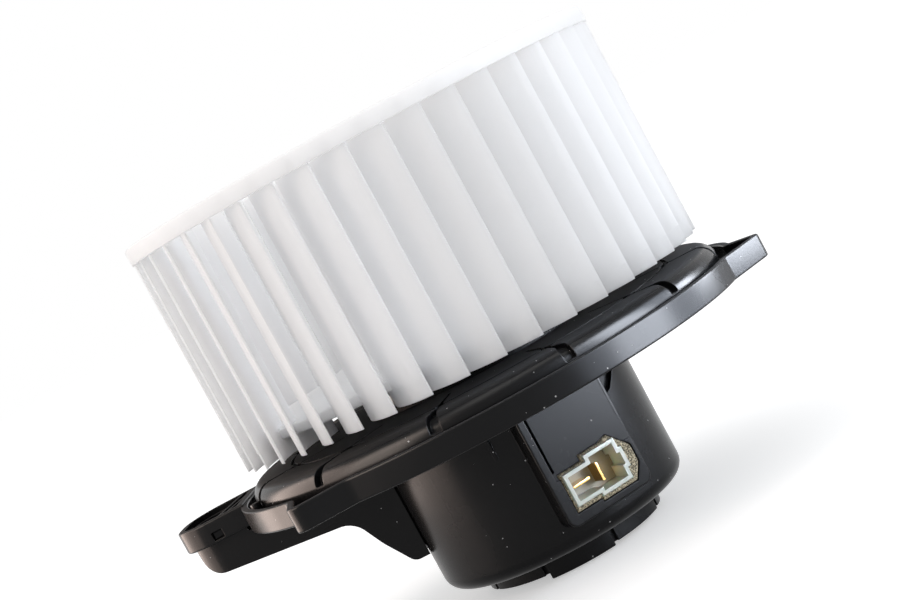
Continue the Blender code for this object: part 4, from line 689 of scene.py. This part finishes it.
def end_cap_fine():
    cap = piece("motor_end_cap", spun([
        (0.0, cap_web_z + 2.0 * mm), (cap_bore, cap_web_z + 2.0 * mm), (cap_bore, 10.9 * mm),
        (cap_flange_radius, 10.9 * mm), (cap_flange_radius, 9.1 * mm), (cap_radius, 9.1 * mm),
        (cap_radius, 0.0, 0.7 * mm), (cap_bore, 0.0, 0.5 * mm), (cap_bore - 1.0 * mm, cap_web_z, 0.6 * mm),
        (cap_boss_radius + 1.0 * mm, cap_web_z, 0.6 * mm), (cap_boss_radius, 0.0, 0.5 * mm), (0.0, 0.0),
    ], round_steps), black_moulding)
    slots = around(cap_lobes, first_slot_deg, (-0.8 * mm, cap_radius - 1.2 * mm, -6.3 * mm),
                   (0.8 * mm, 2.0 * cap_radius, 6.0 * mm))
    pitch = 360.0 / cap_lobes
    steps = [("DIFFERENCE", slots)]
    for index, lift in short_lobes:
        start = first_slot_deg + pitch * index - 0.4
        turns = [start + (pitch + 0.8) * share / 8.0 for share in range(9)]
        sector = [(*(heading(turn) * 1.2 * cap_radius), 0.0) for turn in turns]
        sector += [(*(heading(turn) * (cap_bore - 2.0 * mm)), 0.0) for turn in turns[::-1]]
        steps.append(("DIFFERENCE", slab(sector, -2.0 * mm, lift)))
    fuse(cap, steps)
    smooth(cap)
    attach(cap, "housing")
    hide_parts("end_cap")


end_cap_fine()


# ## Rubber isolators
# Two soft black rubber rings, moulded to fit the motor. They sit between the can and the cup, one at each
# end, and keep the motor's hum from the housing.
soft_rubber = moulded("isolator_rubber", (0.012, 0.012, 0.012), (0.022, 0.021, 0.02), 0.72, specular=0.3,
                      grain=900.0, depth=0.12)
dress(soft_rubber, "isolator_lower", "isolator_upper")


# ## Steel parts of the motor
# The can and its lower bracket are drawn from zinc-plated steel sheet and pressed together. Spring
# steel clips hold the magnets, and spring steel cups hold the bearings.
def reach_of(tree, split):
    """How far a separated place is from the axis."""
    plan = add(tree, "CombineXYZ", {"X": split["X"], "Y": split["Y"]})[0]
    return add(tree, "VectorMath", {0: plan}, operation="LENGTH")["Value"]


def turned_group():
    """Fine rings left by drawing and turning, round the axis and along it, with a cloudy tone."""
    tree, given, out = group("turned_rings", {"Rings per metre": 3000.0, "Depth": 0.1, "Middle roughness": 0.35,
                                              "Spread": 0.2}, ("Tone", "Roughness", "Normal"))
    place = add(tree, "TexCoord", {})["Object"]
    split = add(tree, "SeparateXYZ", {0: place})
    lane = add(tree, "CombineXYZ", {"X": reach_of(tree, split), "Y": split["Z"]})[0]
    rings = add(tree, "TexNoise", {"Vector": lane, "Scale": given["Rings per metre"]})["Fac"]
    cloud = add(tree, "TexNoise", {"Vector": place, "Scale": 90.0, "Detail": 5.0})["Fac"]
    bump = add(tree, "Bump", {"Distance": 0.0001, "Strength": given["Depth"], "Height": rings})["Normal"]
    rough = uneven(tree, cloud, given["Spread"], given["Middle roughness"])
    feed(tree, out, {"Tone": cloud, "Roughness": rough, "Normal": bump})
    return tree


turned_tree = turned_group()


def metal(name, dark, light, roughness, rings=3000.0, depth=0.1, spread=0.2, **more):
    """Bare metal: a tone between two colours, with fine rings from drawing or turning."""
    finish, tree, shader = new_finish(name, Metallic=1.0, **more)
    skin = add(tree, "Group", {"Rings per metre": rings, "Depth": depth, "Middle roughness": roughness,
                               "Spread": spread}, node_tree=turned_tree)
    feed(tree, shader, {"Base Color": mixed(tree, skin["Tone"], dark, light), "Roughness": skin["Roughness"],
                        "Normal": skin["Normal"]})
    return finish


zinc_plate = metal("can_zinc", (0.42, 0.43, 0.42), (0.62, 0.62, 0.6), 0.34, rings=1400.0)
dress(zinc_plate, "motor_can", "end_bracket")
spring_plate = metal("clip_spring_steel", (0.2, 0.2, 0.21), (0.36, 0.36, 0.37), 0.4, rings=2600.0)
dress(spring_plate, "magnet_clip_front", "magnet_clip_back", "bearing_retainer_upper", "bearing_retainer_lower")
sintered_bronze = metal("bearing_bronze", (0.28, 0.17, 0.08), (0.5, 0.33, 0.16), 0.55, rings=5200.0,
                        depth=0.35)
dress(sintered_bronze, "bearing_lower", "bearing_upper")


# ## Magnets
# Two arcs of pressed and fired ferrite, dull and dark grey, with a dry grain. They lie against the can's
# wall, held apart by the spring clips between them.
fired_ferrite = moulded("magnet_ferrite", (0.03, 0.03, 0.032), (0.07, 0.068, 0.066), 0.78, specular=0.35,
                        grain=2600.0, depth=0.35)
dress(fired_ferrite, "magnet_left", "magnet_right")


# ## Armature and shaft
# A ground steel shaft carries a stack of stamped steel sheets, wound with enamelled copper wire, and a
# commutator of copper bars. Plastic washers take up the end play.
def ridge_group():
    """Even ridges across a lane: stamped sheets, wound wire or bars, as a tone and a bump."""
    tree, given, out = group("even_ridges", {"Lane": 0.0, "Ridges per metre": 1500.0, "Depth": 0.5},
                             ("Ridge", "Normal"))
    count = reckon(tree, "MULTIPLY", given["Lane"], given["Ridges per metre"])
    ridge = reckon(tree, "PINGPONG", count, 0.5)
    bump = add(tree, "Bump", {"Distance": 0.0004, "Strength": given["Depth"], "Height": ridge})["Normal"]
    feed(tree, out, {"Ridge": ridge, "Normal": bump})
    return tree


ridge_tree = ridge_group()


def ridged(name, lane, ridges, dark, light, roughness, depth=0.5, **more):
    """Metal with even ridges: across its height, round its axis or across its radius."""
    finish, tree, shader = new_finish(name, Metallic=1.0, Roughness=roughness, **more)
    split = add(tree, "SeparateXYZ", {0: add(tree, "TexCoord", {})["Object"]})
    if lane == "height":
        across = split["Z"]
    elif lane == "turn":
        across = reckon(tree, "ARCTAN2", split["X"], split["Y"])
    else:
        across = reckon(tree, "ADD", reach_of(tree, split), split["Z"])
    skin = add(tree, "Group", {"Lane": across, "Ridges per metre": ridges, "Depth": depth},
               node_tree=ridge_tree)
    feed(tree, shader, {"Base Color": mixed(tree, skin["Ridge"], dark, light), "Normal": skin["Normal"]})
    return finish


dress(metal("shaft_ground_steel", (0.5, 0.5, 0.5), (0.66, 0.66, 0.66), 0.2, rings=4200.0, depth=0.06), "shaft")
dress(ridged("core_sheets", "height", 1540.0, (0.12, 0.12, 0.13), (0.4, 0.4, 0.41), 0.5), "armature_core")
dress(ridged("winding_copper", "reach", 1400.0, (0.2, 0.06, 0.02), (0.62, 0.24, 0.09), 0.32, Coat_Weight=0.6,
             Coat_Roughness=0.15), "armature_winding")
commutator_bars = 16.0
dress(ridged("commutator_bars", "turn", commutator_bars / math.tau, (0.2, 0.1, 0.06), (0.72, 0.42, 0.28), 0.28,
             depth=0.2), "commutator")
washer_plastic = moulded("washer_plastic", (0.3, 0.2, 0.09), (0.4, 0.28, 0.14), 0.45)
dress(washer_plastic, "thrust_washer_lower", "thrust_washer_upper")


# ## Brush gear
# A card of paper and resin carries brass boxes with carbon brushes and their springs, and two chokes of
# copper wire on ferrite rods that quieten the radio.
dress(moulded("card_resin_paper", (0.09, 0.045, 0.02), (0.16, 0.085, 0.04), 0.5, grain=700.0, depth=0.2),
      "brush_card")
box_brass = metal("box_brass", (0.55, 0.36, 0.13), (0.74, 0.52, 0.22), 0.3, rings=900.0)
pressed_carbon = moulded("brush_carbon", (0.02, 0.02, 0.022), (0.05, 0.05, 0.052), 0.55, grain=3200.0,
                         depth=0.25)
spring_wire = metal("spring_wire", (0.4, 0.4, 0.41), (0.6, 0.6, 0.61), 0.25, rings=5000.0)
choke_wire = ridged("choke_copper", "reach", 1600.0, (0.22, 0.07, 0.03), (0.66, 0.28, 0.11), 0.3,
                    Coat_Weight=0.6, Coat_Roughness=0.15)
dress(box_brass, "brush_holder_left", "brush_holder_right")
dress(pressed_carbon, "brush_left", "brush_right")
dress(spring_wire, "brush_spring_left", "brush_spring_right")
dress(choke_wire, "choke_front", "choke_back")


# ## Connector
# A shell of milky, slightly green nylon sits in the pad, with two bare brass blades from the brush
# card inside it. A strip of coarse tan foam is pressed round it against air leaks.
shell_wall = 1.2 * mm
shell_face = pad_distance + 0.8 * mm
shell_back = shell_face - 9.8 * mm
terminal_tip = shell_face - 2.2 * mm
terminal_foot = terminal_tip - 15.6 * mm
terminal_half = 0.4 * mm
terminal_wide = 2.8 * mm
terminal_middle = shell_foot_z + 6.0 * mm
card_top_z = 18.5 * mm
milky_nylon = moulded("shell_nylon", (0.42, 0.47, 0.42), (0.52, 0.57, 0.5), 0.34, specular=0.5, grain=1500.0,
                      Subsurface_Weight=0.4, Subsurface_Scale=0.002)
blade_brass = metal("terminal_brass", (0.56, 0.33, 0.09), (0.76, 0.5, 0.18), 0.24, rings=1600.0)


def foam_finish():
    """Coarse open foam: pale walls round dark brown pores."""
    finish, tree, shader = new_finish("seal_foam", Roughness=0.9, Specular_IOR_Level=0.2)
    place = add(tree, "TexCoord", {})["Object"]
    pores = add(tree, "TexVoronoi", {"Vector": place, "Scale": 2300.0})["Distance"]
    pits = add(tree, "TexNoise", {"Vector": place, "Scale": 900.0, "Detail": 6.0})["Fac"]
    blend = reckon(tree, "MULTIPLY", pores, pits)
    ramp = tree.nodes.new("ShaderNodeValToRGB")
    stops = ramp.color_ramp.elements
    stops[0].position, stops[0].color = 0.12, (0.06, 0.05, 0.03, 1.0)
    stops[1].position, stops[1].color = 0.42, (0.68, 0.6, 0.42, 1.0)
    middle = stops.new(0.26)
    middle.color = (0.34, 0.29, 0.18, 1.0)
    feed(tree, ramp, {"Fac": blend})
    bump = add(tree, "Bump", {"Distance": 0.0006, "Strength": 0.8, "Height": blend})["Normal"]
    feed(tree, shader, {"Base Color": ramp.outputs["Color"], "Normal": bump})
    return finish


def connector_fine():
    body = slab(shell_outline(0.0), shell_back, shell_face, edge=0.22 * mm, place=pad_place, both=False)
    shell = piece("connector_body", body, milky_nylon)
    cell = slab(shell_outline(-shell_wall), shell_back + 1.6 * mm, shell_face + 2.0 * mm, place=pad_place)
    flat_x, upright_x = -5.4 * mm, 1.0 * mm
    blades = (
        ("terminal_flat", (flat_x - terminal_wide, terminal_middle - terminal_half),
         (flat_x + terminal_wide, terminal_middle + terminal_half)),
        ("terminal_upright", (upright_x - terminal_half, terminal_middle - terminal_wide),
         (upright_x + terminal_half, terminal_middle + terminal_wide)),
    )
    slots = gather([brick((left - hair, low - hair, shell_back - 1.6 * mm),
                          (right + hair, high + hair, shell_back + 3.2 * mm), place=pad_place)
                    for _, (left, low), (right, high) in blades])
    fuse(shell, [("DIFFERENCE", cell), ("DIFFERENCE", slots)])
    smooth(shell)
    # A thin dark brown sheet lies on the floor of the connector's cells. Its colour is painted shade, standing
    # in for the shade deep down in the cells.
    card = piece("painted_shade_sheet", slab(shell_outline(-shell_wall - 0.1 * mm), shell_back + 1.5 * mm,
                                     shell_back + 2.0 * mm, place=pad_place),
                 moulded("cell_floor_painted_shade", (0.15, 0.13, 0.08), (0.22, 0.19, 0.12), 0.45))
    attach(card, "housing")
    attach(shell, "housing")
    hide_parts("connector_shell")
    for name, (left, low), (right, high) in blades:
        blade = piece(name + "_blade", brick((left, low, terminal_foot), (right, high, terminal_tip),
                                             edge=0.18 * mm, place=pad_place), blade_brass)
        leg = brick((left + 0.2 * mm, card_top_z, terminal_foot - terminal_half),
                    (right - 0.2 * mm, (low + high) / 2.0, terminal_foot + 0.8 * mm),
                    edge=0.1 * mm, place=pad_place)
        fuse(blade, [("UNION", leg)])
        smooth(blade)
        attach(blade, "housing")
        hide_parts(name)
    foam = piece("seal_strip", slab(seal_outline(0.0), pad_distance - 3.0 * mm, pad_distance + 0.1 * mm,
                                    edge=0.5 * mm, place=pad_place, both=False), foam_finish())
    fuse(foam, [("DIFFERENCE", slab(shell_outline(0.1 * mm), pad_distance - 5.0 * mm, pad_distance + 2.0 * mm,
                                    place=pad_place))])
    smooth(foam)
    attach(foam, "housing")
    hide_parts("connector_seal")


connector_fine()


# ## Fan wheel
# A white polypropylene wheel of 43 blades that curve forward, with a ring at their upper ends and a hub
# plate with a dome in its middle. The boss is pressed on the flat of the shaft, under a spring clip.
fan_top_z = 139.6 * mm
blade_foot_z = 67.2 * mm
blade_count = 43
first_blade_deg = -61.0
blade_tip_radius = 74.6 * mm
blade_bow = 24.5 * mm
blade_tip_slope = math.radians(25.0)
blade_root_slope = math.radians(66.0)
blade_foot_slope = math.radians(85.0)
blade_root_wall = 1.2 * mm
blade_tip_wall = 0.8 * mm
fan_ring_radius = 75.0 * mm
fan_ring_bore = 72.8 * mm
fan_ring_height = 4.9 * mm
fan_rim_radius = 66.3 * mm
fan_rim_foot_z = 72.2 * mm
fan_rim_top_z = 75.2 * mm
boss_radius = 9.0 * mm
boss_foot_z = 84.3 * mm
boss_top_z = 100.3 * mm
shaft_hole = 4.3 * mm
white_moulding = moulded("fan_white", (0.90, 0.90, 0.91), (0.94, 0.94, 0.95), 0.5, Subsurface_Weight=1.0,
                         Subsurface_Scale=0.008, Subsurface_Radius=(1.0, 1.0, 1.0), specular=0.04)


def blade_section(root_slope, steps):
    """Outline of one blade: an arc from its tip back and inwards, thinner to its tip, with round ends."""
    inner_side, outer_side = [], []
    for index in range(steps + 1):
        share = index / steps
        slope = blade_tip_slope + (root_slope - blade_tip_slope) * share
        middle = Vector((-blade_bow * (math.sin(slope) - math.sin(blade_tip_slope)),
                         blade_tip_radius - blade_bow * (math.cos(blade_tip_slope) - math.cos(slope))))
        half = (blade_tip_wall + (blade_root_wall - blade_tip_wall) * share) / 2.0
        across = Vector((-math.sin(slope), math.cos(slope))) * half
        inner_side.append(middle - across)
        outer_side.append(middle + across)
    outline = []
    for point in inner_side + outer_side[::-1]:
        point = point * min(1.0, blade_tip_radius / point.length)
        outline.append((point.x, -point.y))
    return outline


def fan_blades_fine():
    """Every blade: its foot, which runs on inwards under the hub plate, and its tall upper stretch."""
    first = math.radians(first_blade_deg)
    turns = [Matrix.Rotation(first + math.tau * index / blade_count, 4, "Z") for index in range(blade_count)]
    foot, upper = blade_section(blade_foot_slope, 8), blade_section(blade_root_slope, 10)
    feet = gather([slab(foot, blade_foot_z, fan_rim_foot_z + 0.6 * mm, edge=0.15 * mm, place=turn)
                   for turn in turns])
    return feet, gather([slab(upper, fan_rim_foot_z, fan_top_z - 1.0 * mm, place=turn) for turn in turns])


def fan_wheel_fine():
    ring = spun([
        (fan_ring_bore, fan_top_z, 0.4 * mm), (fan_ring_radius, fan_top_z, 0.7 * mm),
        (fan_ring_radius, fan_top_z - fan_ring_height, 0.3 * mm),
        (fan_ring_bore, fan_top_z - fan_ring_height, 0.3 * mm),
    ], 172)
    hub = spun([
        (shaft_hole, boss_top_z, 0.3 * mm), (boss_radius, boss_top_z, 0.6 * mm),
        (boss_radius + 0.4 * mm, 97.7 * mm, 1.5 * mm), (17.0 * mm, 96.0 * mm, 6.0 * mm),
        (29.0 * mm, 80.5 * mm, 8.0 * mm), (48.0 * mm, 77.0 * mm, 30.0 * mm),
        (fan_rim_radius, fan_rim_top_z, 0.5 * mm),
        (fan_rim_radius, fan_rim_foot_z, 0.5 * mm), (62.5 * mm, fan_rim_foot_z, 0.5 * mm),
        (48.0 * mm, 74.8 * mm, 30.0 * mm), (28.0 * mm, 78.3 * mm, 8.0 * mm), (16.0 * mm, 93.8 * mm, 6.0 * mm),
        (boss_radius, 95.5 * mm, 1.0 * mm), (boss_radius - 0.6 * mm, boss_foot_z, 0.4 * mm),
        (shaft_hole, boss_foot_z, 0.3 * mm),
    ], 172)
    wheel = piece("blower_wheel", hub, white_moulding)
    feet, blades = fan_blades_fine()
    fuse(wheel, [("UNION", blades), ("UNION", feet), ("UNION", ring)])
    smooth(wheel, 32.0)
    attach(wheel, "rotor")
    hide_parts("fan_wheel", "fan_blades")


fan_wheel_fine()


# ## Hub clip
# A stamped ring of dark spring steel. It is pushed down the shaft until it stops on the wheel's boss, and
# its inner edge bites on the steel.
dress(spring_plate, "hub_clip")


# ## Studio
# A pale floor and a white surround. Two soft lamps, cool on the right and warm on the left, light all of
# it. The lamps named sheen only show in what reflects them, mostly along the black moulding.
def background_rays(tree):
    """One for a ray from the camera, off a glossy surface or through a clear one, otherwise nought."""
    ray = add(tree, "LightPath", {})
    total = reckon(tree, "MAXIMUM", ray["Is Camera Ray"], ray["Is Glossy Ray"])
    return reckon(tree, "MAXIMUM", total, ray["Is Transmission Ray"])


def studio_floor():
    shape = bmesh.new()
    bmesh.ops.create_grid(shape, x_segments=1, y_segments=1, size=30.0)
    bmesh.ops.translate(shape, verts=shape.verts, vec=(0.0, 0.0, -0.5 * mm))
    finish, tree, shader = new_finish("floor_white", Roughness=0.9, Specular_IOR_Level=0.0)
    lift = add(tree, "MapRange", {"Value": background_rays(tree), "To Max": 0.45})["Result"]
    feed(tree, shader, {"Base Color": (0.8, 0.8, 0.8, 1.0), "Emission Color": (1.0, 1.0, 1.0, 1.0),
                        "Emission Strength": lift})
    piece("studio_floor", shape, finish)


def soft_light(name, place, aim, width, height, power, colour, reflection_only=False):
    lamp = bpy.data.lights.new(name, "AREA")
    lamp.shape = "RECTANGLE"
    lamp.size, lamp.size_y, lamp.energy, lamp.color = width, height, power, colour
    thing = linked(name, lamp)
    thing.location = place
    thing.rotation_euler = (Vector(aim) - Vector(place)).to_track_quat("-Z", "Y").to_euler()
    thing.visible_camera = False
    thing.visible_diffuse = not reflection_only


studio_floor()
middle = (0.0, 0.0, 0.07)
soft_light("light_right", (0.7, -0.4, 0.45), middle, 0.35, 0.35, 1.7, (0.8, 0.89, 1.0))
soft_light("light_left", (-0.55, -0.42, 0.7), middle, 0.3, 0.3, 1.1, (1.0, 0.8, 0.72))
for name, place, aim, width, height, power, colour in (
    ("sheen_right", (0.255, -0.118, 0.13), (0.082, -0.018, 0.13), 0.36, 0.26, 3.8, (0.78, 0.86, 1.0)),
    ("sheen_corner", (0.235, -0.152, 0.15), (0.067, -0.043, 0.15), 0.13, 0.3, 6.0, (0.86, 0.91, 1.0)),
    ("sheen_ear", (0.205, 0.004, 0.075), (0.085, -0.02, 0.06), 0.04, 0.07, 0.5, (0.86, 0.91, 1.0)),
    ("sheen_left", (-0.28, 0.015, 0.15), (-0.1, 0.01, 0.15), 0.3, 0.3, 2.4, (1.0, 0.8, 0.7)),
    ("sheen_front", (-0.26, -0.2, 0.22), (-0.03, -0.07, 0.06), 0.2, 0.3, 2.6, (1.0, 0.86, 0.76)),
    ("sheen_top", (0.05, -0.16, 0.6), (0.0, -0.1, 0.06), 0.5, 0.25, 1.6, (1.0, 0.98, 0.95)),
):
    soft_light(name, place, aim, width, height, power, colour, True)

world = bpy.data.worlds.new("studio_surround")
bpy.context.scene.world = world
world.use_nodes = True
surround = world.node_tree
seen = background_rays(surround)
level = add(surround, "MapRange", {"Value": seen, "To Min": 0.85, "To Max": 1.0})["Result"]
feed(surround, surround.nodes["Background"], {"Color": (1.0, 1.0, 1.0, 1.0), "Strength": level})

# The camera stands where the photograph's did, rolled so that the rotor's axis leans to the left.
lens = bpy.data.cameras.new("photo_camera")
lens.sensor_width = 36.0
lens.lens = 75.68
lens.clip_start = 0.01
camera = linked("photo_camera", lens)
pitch, roll = math.radians(3.456), math.radians(28.501)
ahead = Vector((0.0, math.cos(pitch), -math.sin(pitch)))
level_right = Vector((1.0, 0.0, 0.0))
level_up = level_right.cross(ahead)
right = math.cos(roll) * level_right - math.sin(roll) * level_up
up = math.sin(roll) * level_right + math.cos(roll) * level_up
stand = Matrix((right, up, -ahead)).transposed().to_4x4()
stand.translation = Vector((0.00145, -0.55651, 0.11577))
camera.matrix_world = stand
bpy.context.scene.camera = camera
bpy.context.scene.view_settings.view_transform = "Standard"
